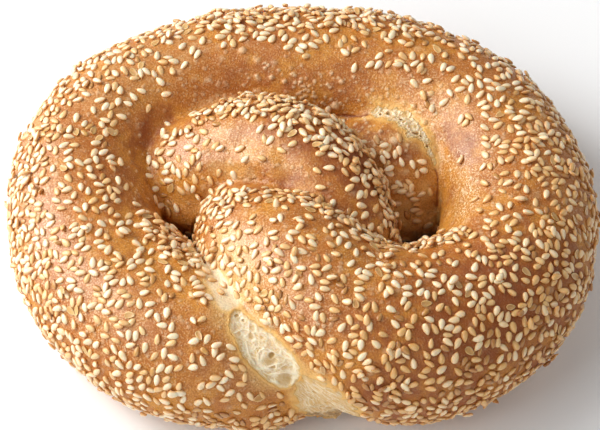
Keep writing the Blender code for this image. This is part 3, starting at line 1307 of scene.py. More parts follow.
@dataclass(frozen=True)
class Crumb:
    """The crumb that shows in one tear."""

    tear: Tear
    drop: float = 15.0  # mm above the tear, from where its grid falls onto the crust
    warp_size: float = 2.4  # mm, of the soft bends in cells and strands
    lump_size: float = 0.6  # mm, of the finest lumps
    thread_height: float = 0.22
    edge_dip: float = 0.9  # mm that the crumb runs down beneath the lip
    cell_bend: float = 0.6  # mm that the cells are bent, as are the next three
    pore_bend: float = 0.4
    hole_bend: float = 0.7
    strand_bend: float = 0.8
    cell_depth: float = 0.30  # share of a cell's size
    pore_depth: float = 0.12
    pore_share: float = 0.6  # a pore's size, as a share of the porous style's
    pore_stretch: float = 1.3
    hole_edge: tuple[float, float] = (0.45, 1.1)  # in shares of a hole's radius
    ridge_width: float = 0.20  # mm, of the ridge round a hole
    ridge_height: float = 0.08

    def sheet(self, skin: BVHTree) -> tuple[Array, Array, Array]:
        """Lay a grid over the tear and drop it onto the whole crust.

        Args:
            skin: The crust before it tore.

        Returns:
            The grid's flat points, their places on the crust in mm, and the quads.
        """
        tear = self.tear
        middle, turn = tear.axes()
        ring = tear.flat_outline()
        margin = tear.tuck + 0.6 * tear.ragged
        low, high = ring.min(axis=0) - margin, ring.max(axis=0) + margin
        us = np.arange(low[0], high[0], tear.spacing)
        vs = np.arange(low[1], high[1], tear.spacing)
        flat = np.stack(np.meshgrid(us, vs, indexing="ij"), axis=-1).reshape(-1, 2)
        kept = tear.edge_distance(flat) < margin
        down = Vector(-turn[2])
        places = np.zeros((len(flat), 3))
        for number in np.flatnonzero(kept):
            above = middle + flat[number] @ turn[:2] + turn[2] * self.drop
            hit = skin.ray_cast(Vector(to_part(above)), down, 2 * self.drop * MM)[0]
            if hit is None:
                kept[number] = False
            else:
                places[number] = to_layout(np.array(hit))
        grid = np.arange(len(flat)).reshape(len(us), len(vs))
        quads = np.stack((grid[:-1, :-1], grid[1:, :-1], grid[1:, 1:], grid[:-1, 1:]), axis=-1)
        quads = quads.reshape(-1, 4)
        quads = quads[kept[quads].all(axis=1)]
        used, quads = np.unique(quads, return_inverse=True)
        return flat[used], places[used], quads.reshape(-1, 4)

    def cells(
        self, rng: np.random.Generator, flat: Array, warp: Array
    ) -> tuple[Array, Array, Array]:
        """Shape the crumb's cells.

        Args:
            rng: The tear's own random numbers.
            flat: Points in the tear's plane.
            warp: A soft shift of each point.

        Returns:
            The height of each point, how much painted shade it gets in a hollow, and how near a cell's
            wall.
        """
        tear = self.tear
        low, high = flat.min(axis=0), flat.max(axis=0)
        sites, sizes = cell_sites(rng, low, high, tear.style)
        cell, best, second = two_nearest(
            flat + self.cell_bend * warp, sites, sizes, tear.style.value[2]
        )
        gap = second - best
        depth = rng.uniform(0.1, 1.0, len(sites))[cell] * sizes[cell]
        depth = depth * self.cell_depth * tear.relief
        hollow = smooth_step(gap, 0.02, 0.6) * depth
        small, small_sizes = cell_sites(rng, low, high, CrumbStyle.POROUS)
        _, near, after = two_nearest(
            flat + self.pore_bend * warp, small, small_sizes * self.pore_share, self.pore_stretch
        )
        pores = smooth_step(after - near, 0.05, 0.9)
        height = -hollow - self.pore_depth * pores * tear.relief
        # Painted shade in each cell's hollow, of a random strength.
        shade = rng.uniform(0.0, tear.shade, len(sites))[cell]
        pit = smooth_step(gap, 0.05, 0.7) * shade
        wall = 1 - smooth_step(gap, 0.0, 0.20)
        for hole in tear.holes:
            bent = flat + self.hole_bend * warp
            away = np.linalg.norm(bent - tear.to_plane(hole.centre), axis=1)
            share = away / hole.radius
            inside = 1 - smooth_step(share, *self.hole_edge)
            past = (share - self.hole_edge[1]) * hole.radius
            ridge = np.exp(-((past / self.ridge_width) ** 2))
            height = height * (1 - inside) - hole.depth * inside + self.ridge_height * ridge
            pit = np.maximum(pit * (1 - inside), inside * hole.dark)
            wall = np.maximum(wall * (1 - inside), 0.8 * ridge)
        return height, pit, wall

    def threads(self, flat: Array) -> Array:
        """Return how much of a named thread each point is, from 0 to 1."""
        found = np.zeros(len(flat))
        for thread in self.tear.threads:
            path = rounded(self.tear.to_plane(thread.path), 3, closed=False)
            for start, end in zip(path, path[1:]):
                away = segment_distance(flat, start, end)
                found = np.maximum(found, np.exp(-((away / thread.width) ** 2)))
        return found

    def strands(self, flat: Array, warp: Array) -> Array:
        """Return how near each point is to a fine stretched strand, from 0 to 1."""
        tear = self.tear
        bent = flat + self.strand_bend * warp
        if tear.fan is not None:
            spoke = bent - tear.to_plane(tear.fan)
            reach = np.linalg.norm(spoke, axis=1)
            bent = np.stack((reach, 8.0 * np.arctan2(spoke[:, 1], spoke[:, 0])), axis=1)
        if tear.across:
            bent = bent[:, ::-1]
        width, length = tear.strand
        found = np.zeros(len(flat))
        for size, shift in ((width, 0.0), (width * 0.55, 7.3)):
            scaled = np.stack(
                (bent[:, 0] / (size * length), bent[:, 1] / size, np.full(len(bent), shift)), axis=1
            )
            found = np.maximum(found, (1 - np.abs(wobble(scaled, 1.0)) * 2.4).clip(0, 1) ** 4)
        return found

    def build(self, skin: BVHTree, material: Material) -> Object:
        """Return the crumb's piece: a closed slab with cells on its outer side.

        Args:
            skin: The crust before it tore.
            material: The crumb's material.

        Returns:
            The finished object.
        """
        tear = self.tear
        _, turn = tear.axes()
        flat, places, quads = self.sheet(skin)
        edge = tear.edge_distance(flat) + tear.wander(places)
        size = self.warp_size
        warp = np.stack((wobble(places, size), wobble(places + 31, size)), axis=1)
        height, pit, wall = self.cells(np.random.default_rng(tear.seed), flat, warp)
        threads = self.threads(flat)
        strands = self.strands(flat, warp)
        height += tear.strand_height * strands * (1 - 0.6 * pit) + self.thread_height * threads
        height += tear.roughness * wobble(places, self.lump_size)
        strands = np.maximum(strands, threads)
        pit = pit * (1 - 0.85 * threads)
        height -= tear.sink * smooth_step(-edge, -0.2, 1.6)
        inner = 1 - smooth_step(edge, 0.0, 0.5)
        out = height * (0.4 + 0.6 * inner) - (1 - inner) * self.edge_dip
        outer = places + turn[2] * out[:, None]
        under = places - turn[2] * tear.depth
        low_edge = 1 - smooth_step(places[:, 2], tear.scorched_below, tear.scorched_below + 2.5)
        return self.slab(outer, under, quads, material, {
            PIT_SHADE: pit * inner,
            WALL: np.maximum(wall, 0.9 * strands),
            RIM: np.maximum(1 - smooth_step(-edge, -0.2, tear.halo), tear.toast * (1 - strands)),
            SCORCH: low_edge,
        })

    def slab(
        self,
        outer: Array,
        under: Array,
        quads: Array,
        material: Material,
        marks: dict[str, Array],
    ) -> Object:
        """Close the outer sheet with an underside and a wall round its edge.

        Args:
            outer: The outer side's places, in mm.
            under: The underside's places, in mm.
            quads: The outer side's faces.
            material: The crumb's material.
            marks: Numbers for each point of the outer side, by name.

        Returns:
            The closed object.
        """
        count = len(outer)
        ends = np.concatenate([quads[:, [k, (k + 1) % 4]] for k in range(4)])
        ordered = np.sort(ends, axis=1)
        _, index, times = np.unique(ordered, axis=0, return_inverse=True, return_counts=True)
        rim = ends[times[index.reshape(-1)] == 1]
        walls = np.stack((rim[:, 1], rim[:, 0], rim[:, 0] + count, rim[:, 1] + count), axis=1)
        faces = np.concatenate((quads, quads[:, ::-1] + count, walls))
        mesh = bpy.data.meshes.new(self.tear.name)
        mesh.from_pydata(to_part(np.concatenate((outer, under))), [], faces.tolist())
        mesh.update()
        for name, values in marks.items():
            paint(mesh, name, np.concatenate((values, np.zeros(count))))
        shade_smooth(mesh)
        mesh.materials.append(material)
        return linked_object(self.tear.name, mesh)


FRONT_WINDOW = Tear(
    name="front_window_crumb",
    outline=(
        (-15.7, -36.8, 33.5), (-17.0, -39.2, 33.6), (-16.6, -42.4, 32.8), (-15.2, -44.6, 31.9),
        (-14.2, -47.2, 30.1), (-12.1, -49.2, 28.0), (-9.5, -50.4, 25.9), (-7.8, -51.2, 24.1),
        (-5.4, -51.9, 22.4), (-3.2, -52.1, 22.2), (-1.0, -51.6, 23.4), (0.3, -50.7, 25.9),
        (-0.2, -49.6, 28.6), (-1.3, -48.1, 30.5), (-3.7, -45.8, 31.8), (-6.6, -42.8, 32.1),
        (-9.4, -41.1, 32.4), (-12.1, -39.1, 33.3), (-14.3, -37.1, 33.4),
    ),
    facing=(-0.05, -0.66, 0.75),
    style=CrumbStyle.HONEYCOMB,
    holes=(
        Hole((-15.0, -38.7, 33.3), 0.60, 0.25, 0.7),
        Hole((-13.5, -40.2, 33.0), 0.50, 0.25, 0.7),
        Hole((-11.6, -42.4, 31.1), 1.1, 0.20, 0.62),
        Hole((-10.9, -44.1, 29.7), 0.35, 0.15, 0.5),
        Hole((-10.3, -44.9, 29.1), 0.35, 0.15, 0.5),
        Hole((-7.1, -47.1, 27.2), 2.0, 0.35, 0.62),
        Hole((-3.6, -51.0, 24.5), 2.2, 0.40, 0.62),
        Hole((-6.6, -46.2, 27.9), 0.85, 0.55, 0.95),
        Hole((-6.4, -48.4, 26.4), 1.0, 0.35, 0.70),
    ),
    threads=(
        Thread(((-8.9, -49.3, 26.4), (-7.0, -48.2, 26.6), (-4.6, -47.9, 27.2))),
        Thread(((-8.6, -48.4, 26.8), (-6.6, -49.4, 26.0), (-2.2, -48.0, 27.6)), 0.14),
        Thread(((-7.3, -50.4, 25.6), (-4.0, -49.6, 25.7), (-0.6, -50.5, 26.0))),
        Thread(((-8.7, -50.0, 26.1), (-6.6, -50.8, 25.2), (-4.4, -49.8, 25.7)), 0.14),
        Thread(((-15.4, -42.7, 32.4), (-13.3, -41.2, 32.0), (-10.9, -42.2, 31.4))),
        Thread(((-9.9, -47.4, 27.6), (-9.9, -45.2, 28.5), (-7.8, -44.4, 29.0), (-4.6, -46.4, 28.2))),
        Thread(((-3.9, -45.9, 29.6), (-1.6, -48.3, 29.6), (-0.9, -50.6, 26.4)), 0.20),
        Thread(((-12.8, -44.6, 31.0), (-12.4, -46.6, 29.6), (-10.8, -48.6, 27.6)), 0.14),
    ),
    seed=11,
    lip=0.16,
    lip_width=0.40,
    halo=0.75,
    relief=0.28,
    shade=0.50,
    sink=0.6,
    strand=(0.55, 3.5),
    strand_height=0.10,
    roughness=0.05,
)

FRONT_FOOT = Tear(
    name="front_foot_crumb",
    outline=(
        (-0.6, -51.5, 23.1), (0.8, -51, 26.0), (2.5, -51.9, 26.2), (4.4, -52.9, 26.5),
        (7.3, -54.3, 26), (10.4, -55.5, 24.6), (12.6, -56.4, 21), (14.1, -56.3, 16.5),
        (13.4, -55.5, 10), (10.5, -53, 5.5), (7, -52, 4.5), (4.2, -51.5, 5.5),
        (2.2, -51.4, 8.5), (-0.4, -52.4, 14), (-1.4, -52.1, 20),
    ),
    facing=(0.02, -0.95, 0.3),
    style=CrumbStyle.FIBROUS,
    holes=(
        Hole((3.5, -52.5, 21.5), 0.7, 0.4, 0.6),
        Hole((6.5, -53.5, 18.5), 0.5, 0.3, 0.5),
    ),
    seed=23,
    lip=0.0,
    halo=1.6,
    ragged=1.6,
    toast=0.90,
    sink=0.15,
    relief=0.25,
    shade=0.40,
    hollow=2.0,
    scorched_below=9.0,
    fan=(-4.5, -50.5, 29),
    strand=(0.50, 11.0),
    strand_height=0.18,
    roughness=0.03,
)

BACK_TEAR = Tear(
    name="back_crumb",
    outline=(
        (18.2, 27.9, 27.1), (19.9, 28.8, 28.1), (22.6, 28.0, 28.7), (25.4, 26.9, 28.6),
        (27.7, 25.8, 28.9), (30.0, 23.7, 28.5), (31.6, 21.2, 27.8), (32.7, 17.9, 28.3),
        (33.4, 15.1, 27.4), (34.1, 12.6, 26.0), (33.6, 12.4, 26.0),
        (32.4, 14.0, 27.2), (31.3, 16.1, 28.2), (29.9, 17.7, 29.0),
        (27.8, 17.9, 29.5), (25.9, 19.5, 29.9), (24.4, 22.6, 28.2), (23.0, 24.0, 28.2),
        (20.8, 24.0, 28.7), (18.8, 25.9, 27.6),
    ),
    facing=(0.1, -0.1, 0.98),
    style=CrumbStyle.POROUS,
    holes=(
        Hole((22.9, 26.2, 28.1), 0.75, 0.9, 0.85),
        Hole((25.7, 23.8, 27.6), 0.70, 0.8, 0.8),
        Hole((29.3, 19.6, 29.3), 0.80, 0.9, 0.9),
        Hole((32.0, 16.1, 28.1), 0.50, 0.7, 0.8),
        Hole((20.8, 26.6, 28.0), 0.50, 0.6, 0.6),
        Hole((30.7, 18.9, 28.9), 0.45, 0.7, 0.8),
    ),
    seed=37,
    hollow=2.0,
    ragged=1.2,
    toast=0.32,
    halo=1.2,
    lip=0.05,
    sink=0.2,
    relief=0.5,
    shade=0.40,
    reach=7.0,
    strand=(0.85, 4.5),
    strand_height=0.35,
    across=True,
    roughness=0.04,
)

TEARS = (FRONT_WINDOW, FRONT_FOOT, BACK_TEAR)


# ---- the crust


@dataclass(frozen=True)
class Crust:
    """The loaf's crust: the dough's skin torn, blistered and painted for its finish."""

    dough: Dough
    tears: tuple[Tear, ...]
    finish: CrustFinish
    fine_within: float = 3.0  # mm from a tear's edge, where the faces are finer
    fine_inside: float = 2.2  # mm inside a tear, past which they aren't
    fine_folds: float = 3.0  # widths of a fold, where the faces are finer
    cuts: int = 2
    lump_size: float = 9.0  # mm, as are the next three
    lump_height: float = 0.55
    blister_spacing: float = 3.4
    blister_height: float = 0.26
    blister_edge: tuple[float, float] = (0.08, 0.34)  # in shares of the spacing
    least_blister: float = 0.62  # a cell's random number, from which it has a blister
    small_blister: tuple[float, float] = (0.20, 0.55)  # mm, least and greatest radius
    flatness: float = 0.45  # a small blister's height, as a share of its radius
    blister_seed: int = 8
    shaded: tuple[float, float] = (0.10, 0.42)  # openness where it is pale, and where it isn't
    dull: tuple[float, float] = (0.05, 0.25)  # openness where it is dull, and where it isn't
    low: tuple[float, float] = (1.0, 9.0)  # heights in mm where it stays paler, and where it doesn't
    tray: tuple[float, float] = (0.25, 1.1)  # heights in mm where it lay on the tray, and where it didn't
    gloss_and_sheen_way: Point = (-0.62, -0.25, 0.74)  # skin that faces this way, towards the left lamps, is the glossiest and has the most painted sheen
    gloss_and_sheen_turn: tuple[float, float] = (0.75, 1.0)  # how far it must face that way
    least_gloss_and_sheen: float = 0.3  # gloss and painted sheen of skin that faces any other way
    low_pale: float = 0.2  # how pale the lowest skin is at least
    pale_rounds: int = 4  # how often the paleness is evened
    crest_bake: float = 0.3  # how far the crests with thick seeds are baked
    fold_painted_shade: float = 1.15  # how dark the folds' lines are painted, as shade
    fold_spread: float = 1.3  # widths of a fold over which that painted shade spreads
    most_marked: float = 1.6  # greatest bake with painted shade, and greatest paleness

    def refine(self, skin: Mesh) -> None:
        """Cut the faces near the tears, the folds and the blisters finer."""
        places, normals = to_layout(read_points(skin)), read_normals(skin)
        near = np.zeros(len(places), bool)
        for tear in self.tears:
            edge = tear.distance(places, normals)
            near |= (edge < self.fine_within) & (edge > -self.fine_inside)
        for fold in FOLDS:
            near |= fold.share(places, normals, self.fine_folds) > 0.3
        for dome in BIG_BLISTERS:
            near |= np.linalg.norm(places - np.array(dome.centre), axis=1) < dome.radius * 2
        for patch in BLISTER_PATCHES:
            near |= (patch.share(places) > 0.4 * patch.amount) & (normals[:, 2] > 0)
        shell = bmesh.new()
        shell.from_mesh(skin)
        edges = [e for e in shell.edges if near[e.verts[0].index] and near[e.verts[1].index]]
        bmesh.ops.subdivide_edges(shell, edges=edges, cuts=self.cuts, use_grid_fill=True)
        bmesh.ops.triangulate(shell, faces=[f for f in shell.faces if len(f.verts) > 4])
        shell.to_mesh(skin)
        shell.free()
        skin.update()

    def relief_tree(self) -> NodeTree:
        """Return the tree that raises soft lumps and small blisters on the crust."""
        sizes = ("Lump Size", "Lump Height", "Blister Spacing", "Blister Height")
        bench = GeometryBench("crust_relief", dict.fromkeys(sizes, "NodeSocketFloat"))
        lump_size, lump_height, spacing, blister_height = (bench.given(size) for size in sizes)
        place = bench.add("GeometryNodeInputPosition")
        lumps = (bench.noise(place, lump_size) - 0.5) * lump_height * 2.0
        domes = bench.spots(place, spacing, self.blister_edge, self.least_blister)
        off_tray = 1 - bench.stored(TRAY)
        blisters = domes * (1 - bench.stored(RIM).clamped()) * off_tray
        rise = lumps * off_tray + blisters * blister_height
        marked = bench.store(bench.given("Geometry"), BLISTER, blisters)
        offset = bench.scaled(bench.add("GeometryNodeInputNormal"), rise)
        inputs = {"Geometry": marked, "Offset": offset}
        return bench.finish(bench.add("GeometryNodeSetPosition", inputs=inputs))

    def tear_open(self, skin: Mesh) -> None:
        """Push the crust in under each tear, raise its lip, cut the folds and mark the rim."""
        points, normals = read_points(skin), read_normals(skin)
        places = to_layout(points)
        move = np.zeros_like(points)
        rim = np.zeros(len(points))
        for tear in self.tears:
            edge = tear.distance(places, normals)
            facing = tear.axes()[1][2]
            inside = smooth_step(-edge, -0.15, 1.1)
            band = np.exp(-((edge - 0.25) / (0.6 * tear.lip_width)) ** 2)
            move += (band * tear.lip)[:, None] * normals - (inside * tear.hollow)[:, None] * facing
            rim = np.maximum(rim, np.exp(-((edge - 0.1) / tear.halo) ** 2) * 0.8)
        for fold in FOLDS:
            move -= (fold.share(places, normals) * fold.depth)[:, None] * normals
        rise, bubble = self.blisters(places, normals)
        move += rise[:, None] * normals
        write_points(skin, points + move * MM)
        paint(skin, RIM, np.clip(rim, 0, 1))
        paint(skin, BUBBLE, bubble)

    def blisters(
        self, places: Array, normals: Array
    ) -> tuple[Array, Array]:
        """Raise the large blisters, and many small ones in the patches.

        Args:
            places: The crust's points, in mm.
            normals: The crust's directions there.

        Returns:
            How far each point rises in mm, and how much of a blister's top it is.
        """
        rng = np.random.default_rng(self.blister_seed)
        domes = list(BIG_BLISTERS)
        for patch in BLISTER_PATCHES:
            chance = patch.share(places) * (normals[:, 2] > 0)
            for number in np.flatnonzero(rng.random(len(places)) < chance):
                radius = rng.uniform(*self.small_blister)
                domes.append(Dome(tuple(places[number]), radius, radius * self.flatness))
        rise = np.zeros(len(places))
        bubble = np.zeros(len(places))
        for dome in domes:
            near = np.flatnonzero(np.abs(places - np.array(dome.centre)).max(axis=1) < dome.radius)
            away = np.linalg.norm(places[near] - np.array(dome.centre), axis=1) / dome.radius
            top = np.sqrt(np.maximum(0, 1 - away**2))
            rise[near] = np.maximum(rise[near], top * dome.height)
            bubble[near] = np.maximum(bubble[near], top)
        return rise, bubble

    def mark(self, skin: Mesh, openness: Array) -> None:
        """Paint what the finish reads: bake and painted shade, paleness, gloss and painted sheen, and the
        tray's side.
        """
        places, normals = to_layout(read_points(skin)), read_normals(skin)
        height, upward = places[:, 2], normals[:, 2]
        baked = strongest(BAKE_AND_SHADE_REGIONS, places)
        pale = 0.5 * (1 - smooth_step(openness, *self.shaded)) * (1 - baked)
        pale = np.maximum(pale, strongest(PALE_AND_SHEEN_REGIONS, places))
        baked = np.maximum(baked, self.crest_bake * strongest(THICK_REGIONS, places))
        # Painted shade along the folds: their lines are darkened through the bake.
        for fold in FOLDS:
            share = fold.share(places, normals, self.fold_spread)
            baked = np.maximum(baked, self.fold_painted_shade * share)
            pale *= 1 - share
        pale = np.maximum(pale, self.low_pale * (1 - smooth_step(height, *self.low)))
        # Gloss and painted sheen: most on upward, open skin that faces the left lamps.
        turned = smooth_step(normals @ unit(np.array(self.gloss_and_sheen_way)), *self.gloss_and_sheen_turn)
        glaze = smooth_step(upward, 0.0, 0.6) * smooth_step(openness, *self.dull)
        glaze *= self.least_gloss_and_sheen + (1 - self.least_gloss_and_sheen) * turned
        glaze = np.maximum(glaze, strongest(GLOSS_AND_SHEEN_REGIONS, places))
        paint(skin, OPEN, openness * (0.5 + 0.5 * smooth_step(upward, -0.1, 0.9)))
        paint(skin, GLOSS_AND_SHEEN, glaze)
        paint(skin, PALE, soften(skin, pale, self.pale_rounds).clip(0, self.most_marked))
        paint(skin, BAKE_AND_SHADE, baked.clip(0, self.most_marked))
        paint(skin, TRAY, 1 - smooth_step(height, *self.tray))

    def build(self) -> tuple[Object, BVHTree]:
        """Build the crust.

        Returns:
            The crust's object, and a search tree of the skin before it tore.
        """
        material = self.finish.material()
        skin = self.dough.build(material)
        whole = mesh_tree(skin)
        self.refine(skin)
        openness = Daylight().measure(self.dough, skin)
        self.mark(skin, openness)
        self.tear_open(skin)
        skin = run_tree(NODE, skin, self.relief_tree(), {
            "Lump Size": self.lump_size * MM,
            "Lump Height": self.lump_height * MM,
            "Blister Spacing": self.blister_spacing * MM,
            "Blister Height": self.blister_height * MM,
            "Material": material,
        })
        shade_smooth(skin)
        return linked_object("crust", skin), whole


# ---- the sesame


class SeedShape(Enum):
    """The outer form of a seed."""

    PLUMP = "plump"
    SPLIT = "split"  # an empty half husk, dished on top


@dataclass(frozen=True)
class SeedKind:
    """One kind of sesame: its share of the coat, its finish and how it lies."""

    finish: SeedFinish
    share: float
    shape: SeedShape
    lift: tuple[float, float]  # mm from the crust to the seed's middle
    size: tuple[float, float]  # smallest and largest scale


CREAM = SeedFinish("cream_sesame", (0.95, 0.80, 0.56), (0.91, 0.62, 0.32), (0.72, 0.34, 0.08))
GOLDEN = SeedFinish("golden_sesame", (0.90, 0.62, 0.31), (0.78, 0.43, 0.13), (0.56, 0.23, 0.04))
TOASTED = SeedFinish("toasted_sesame", (0.66, 0.36, 0.10), (0.46, 0.19, 0.04), (0.30, 0.10, 0.02))
HUSKS = SeedFinish("split_sesame", (0.70, 0.41, 0.14), (0.54, 0.26, 0.07), (0.84, 0.56, 0.24))

SEED_KINDS = table(
    SeedKind,
    (CREAM, 0.56, SeedShape.PLUMP, (0.08, 0.32), (0.92, 1.10)),
    (GOLDEN, 0.34, SeedShape.PLUMP, (0.02, 0.26), (0.88, 1.08)),
    (TOASTED, 0.06, SeedShape.PLUMP, (-0.14, 0.12), (0.84, 1.02)),
    (HUSKS, 0.03, SeedShape.SPLIT, (0.26, 0.36), (0.90, 1.06)),
)


@dataclass(frozen=True)
class SeedForm:
    """A sesame seed's own size, in mm: a flat drop with a blunt and a pointed end."""

    length: float = 2.95
    width: float = 1.76
    thickness: float = 0.92
    sides: int = 8
    rows: tuple[float, ...] = (0.045, 0.17, 0.36, 0.60, 0.84)  # shares of the length
    widest: float = 0.37  # share of the length
    taper: float = 0.85  # how the pointed end narrows
    blunt: float = 0.5  # how the blunt end rounds
    plumpness: float = 1.15  # above 1, the thickness holds on towards the ends
    dish: float = 0.25  # how far a split seed's top is pressed in

    def girth(self, share: Array) -> Array:
        """Return the half width at a share of the length, as a share of the widest."""
        widest = (1 - self.widest) ** self.taper * self.widest**self.blunt
        return (1 - share) ** self.taper * share**self.blunt / widest

    def mesh(self, name: str, shape: SeedShape) -> Mesh:
        """Return one seed, lying along +X with its pointed end first."""
        share = np.repeat(self.rows, self.sides)
        angle = np.tile(np.arange(self.sides) * math.tau / self.sides, len(self.rows))
        half = self.girth(share)
        x = (share - 0.5) * self.length
        y = np.cos(angle) * half * self.width / 2
        z = np.sin(angle) * np.minimum(1.0, half * self.plumpness) * self.thickness / 2
        if shape is SeedShape.SPLIT:
            z = np.where(z > 0, -self.dish * z, z)
        end = np.array(((self.length / 2, 0.0, 0.0),))
        mesh = bpy.data.meshes.new(name)
        points = np.concatenate((-end, np.stack((x, y, z), axis=1), end))
        mesh.from_pydata(points * MM, [], self.faces())
        mesh.update()
        shade_smooth(mesh)
        # 1 on the rims and underside, which are darkened partly as painted shade
        edge = np.maximum(np.abs(np.cos(angle)), -np.sin(angle))
        paint(mesh, ALONG, np.concatenate(((0.0,), share, (1.0,))))
        paint(mesh, EDGE_SHADE, np.concatenate(((1.0,), edge, (1.0,))))
        return mesh

    def faces(self) -> list[tuple[int, ...]]:
        """Return the faces, with the outside facing out."""
        last = 1 + len(self.rows) * self.sides
        found: list[tuple[int, ...]] = []
        for side in range(self.sides):
            after = (side + 1) % self.sides
            found.append((0, 1 + after, 1 + side))
            for row in range(len(self.rows) - 1):
                low, high = 1 + row * self.sides, 1 + (row + 1) * self.sides
                found.append((low + side, low + after, high + after, high + side))
            found.append((last - self.sides + side, last - self.sides + after, last))
        return found


# Three balls stand for a seed when seeds are kept apart: places along it, and radii, in mm.
BALL_PLACES = np.array((-0.85, -0.1, 0.75))
BALL_RADII = np.array((0.62, 0.86, 0.50))


@dataclass(frozen=True)
class SesameCoat:
    """The seeds on the crust, laid so that few of them run into each other."""

    form: SeedForm = SeedForm()
    seed: int = 5
    spot_gap: float = 0.95  # mm, least gap between two spots
    spots: float = 0.62  # a square mm
    most: float = 0.80  # share of the spots that is tried where the coat is fullest
    spins: int = 8  # directions that are tried for each seed
    touch: float = 0.27  # mm that two seeds may run into each other, and twice that on top
    cell: float = 3.6  # mm, of the search grid
    clump_size: float = 6.5  # mm, of the clusters and gaps in the coat
    small_clump_size: float = 3.0
    lowest: float = 2.2  # mm above the tray, under which no seed sticks
    half_loaf: tuple[float, float] = (75.0, 61.0)  # mm, half its width and depth
    inner: float = 0.28  # the coat's fullness on the slopes that face inwards
    upper: float = 0.42  # what it gains towards the crests
    outer: float = 0.5  # what it gains towards the outer sides
    clumping: float = 0.5  # how far clusters and gaps change it
    clumped: tuple[float, float] = (0.25, 1.7)  # least and greatest such change
    thick: float = 1.8  # its fullness where seeds lie thick
    least_pile: float = 0.07  # share of the seeds that may lie on others anywhere
    thick_pile: float = 0.8  # and where seeds lie thick
    steep_bare: float = 0.85  # share that is missing on steep slopes that face inwards
    widths: tuple[float, float] = (0.9, 1.1)  # narrowest and widest seed
    heights: tuple[float, float] = (0.85, 1.2)
    lean: float = 8.0  # degrees, usual
    stacked_lean: float = 15.0  # of a seed on top of others
    stacked_lift: tuple[float, float] = (0.50, 0.95)  # mm
    tilted: float = 0.015  # share of the seeds that stand at a tilt
    tilted_lean: float = 24.0
    tilted_lift: float = 0.25  # mm

    def spot_tree(self) -> NodeTree:
        """Return the tree that scatters spots over the crust and keeps their normals."""
        sizes = {"Gap": "NodeSocketFloat", "Density": "NodeSocketFloat"}
        bench = GeometryBench("sesame_spots", {**sizes, "Random Seed": "NodeSocketInt"})
        scatter = bench.add(
            "GeometryNodeDistributePointsOnFaces",
            {"distribute_method": "POISSON"},
            {
                "Mesh": bench.given("Geometry"),
                "Distance Min": bench.given("Gap"),
                "Density Max": bench.given("Density"),
                "Seed": bench.given("Random Seed"),
            },
        )
        spots = bench.store(scatter, NORMAL, scatter.output("Normal"), "FLOAT_VECTOR")
        return bench.finish(bench.add("GeometryNodePointsToVertices", inputs={0: spots}))

    def fullness(
        self, places: Array, normals: Array, openness: Array
    ) -> tuple[Array, Array]:
        """Say how thickly seeds lie.

        Args:
            places: Places on the crust, in mm.
            normals: The crust's directions there.
            openness: How much open space they see.

        Returns:
            The coat's fullness at each place, and the share of seeds that may pile up.
        """
        flat = places[:, :2] / np.array(self.half_loaf)
        outward = (unit(flat) * normals[:, :2]).sum(axis=1)
        full = self.inner + self.upper * smooth_step(outward, -0.75, 0.1)
        full += self.outer * smooth_step(outward, 0.0, 0.7)
        clumps = wobble(places, self.clump_size)
        clumps += 0.5 * wobble(places + 50, self.small_clump_size)
        full *= np.clip(1.0 + self.clumping * clumps, *self.clumped)
        thick = strongest(THICK_REGIONS, places)
        full = np.maximum(full, self.thick * thick)
        pile = np.maximum(self.least_pile, self.thick_pile * thick)
        for region in BARE_REGIONS:
            full *= 1 - region.share(places)
        steep = (1 - smooth_step(outward, -0.3, 0.0)) * (1 - smooth_step(normals[:, 2], 0.15, 0.55))
        full *= (1 - self.steep_bare * steep) * smooth_step(places[:, 2], self.lowest, self.lowest + 1.2)
        full *= smooth_step(openness, 0.08, 0.22)
        for tear in TEARS:
            full *= smooth_step(tear.distance(places, normals), 0.8, 2.2)
        return full, pile

    def lay(self, places: Array, normals: Array, openness: Array) -> dict[str, Array]:
        """Choose which spots get a seed and which way each one lies.

        Args:
            places: The spots, in mm.
            normals: The crust's directions there.
            openness: How much open space they see.

        Returns:
            The laid seeds, one a row: their places and kinds, and what is painted on them.
        """
        rng = np.random.default_rng(self.seed)
        full, pile = self.fullness(places, normals, openness)
        tried = rng.permutation(np.flatnonzero(rng.random(len(places)) < full * self.most))
        shares = np.array([kind.share for kind in SEED_KINDS])
        kinds = rng.choice(len(SEED_KINDS), size=len(places), p=shares / shares.sum())
        kinds, tints = self.browned_and_shaded(places, kinds)
        layers: tuple[dict, dict] = ({}, {})
        rows: list[tuple] = []
        for number in tried:
            kind = SEED_KINDS[kinds[number]]
            place, normal = places[number], normals[number]
            size = rng.uniform(*kind.size)
            scale = size * np.array((1.0, rng.uniform(*self.widths), rng.uniform(*self.heights)))
            lift = rng.uniform(*kind.lift)
            lean = rng.normal(0, math.radians(self.lean), 2)
            layer = layers[0]
            heading, clash = self.best_heading(rng, layer, place, normal, size)
            if clash >= self.touch:
                if rng.random() > pile[number]:
                    continue
                layer = layers[1]
                lift += rng.uniform(*self.stacked_lift)
                lean = rng.normal(0, math.radians(self.stacked_lean), 2)
                heading, clash = self.best_heading(rng, layer, place, normal, size)
                if clash >= 2 * self.touch:
                    continue
            if rng.random() < self.tilted:
                lean = rng.normal(0, math.radians(self.tilted_lean), 2)
                lift += self.tilted_lift
            balls = (place + heading * BALL_PLACES[:, None] * size, BALL_RADII * size)
            layer.setdefault(self.cell_of(place), []).append(balls)
            rows.append(
                (place + normal * lift, kinds[number], normal, heading, (*lean, 0.0), scale,
                 tints[number])
            )
        names = (PLACE, KIND, *SEED_PAINT)
        return {name: np.array(column, float) for name, column in zip(names, zip(*rows))}

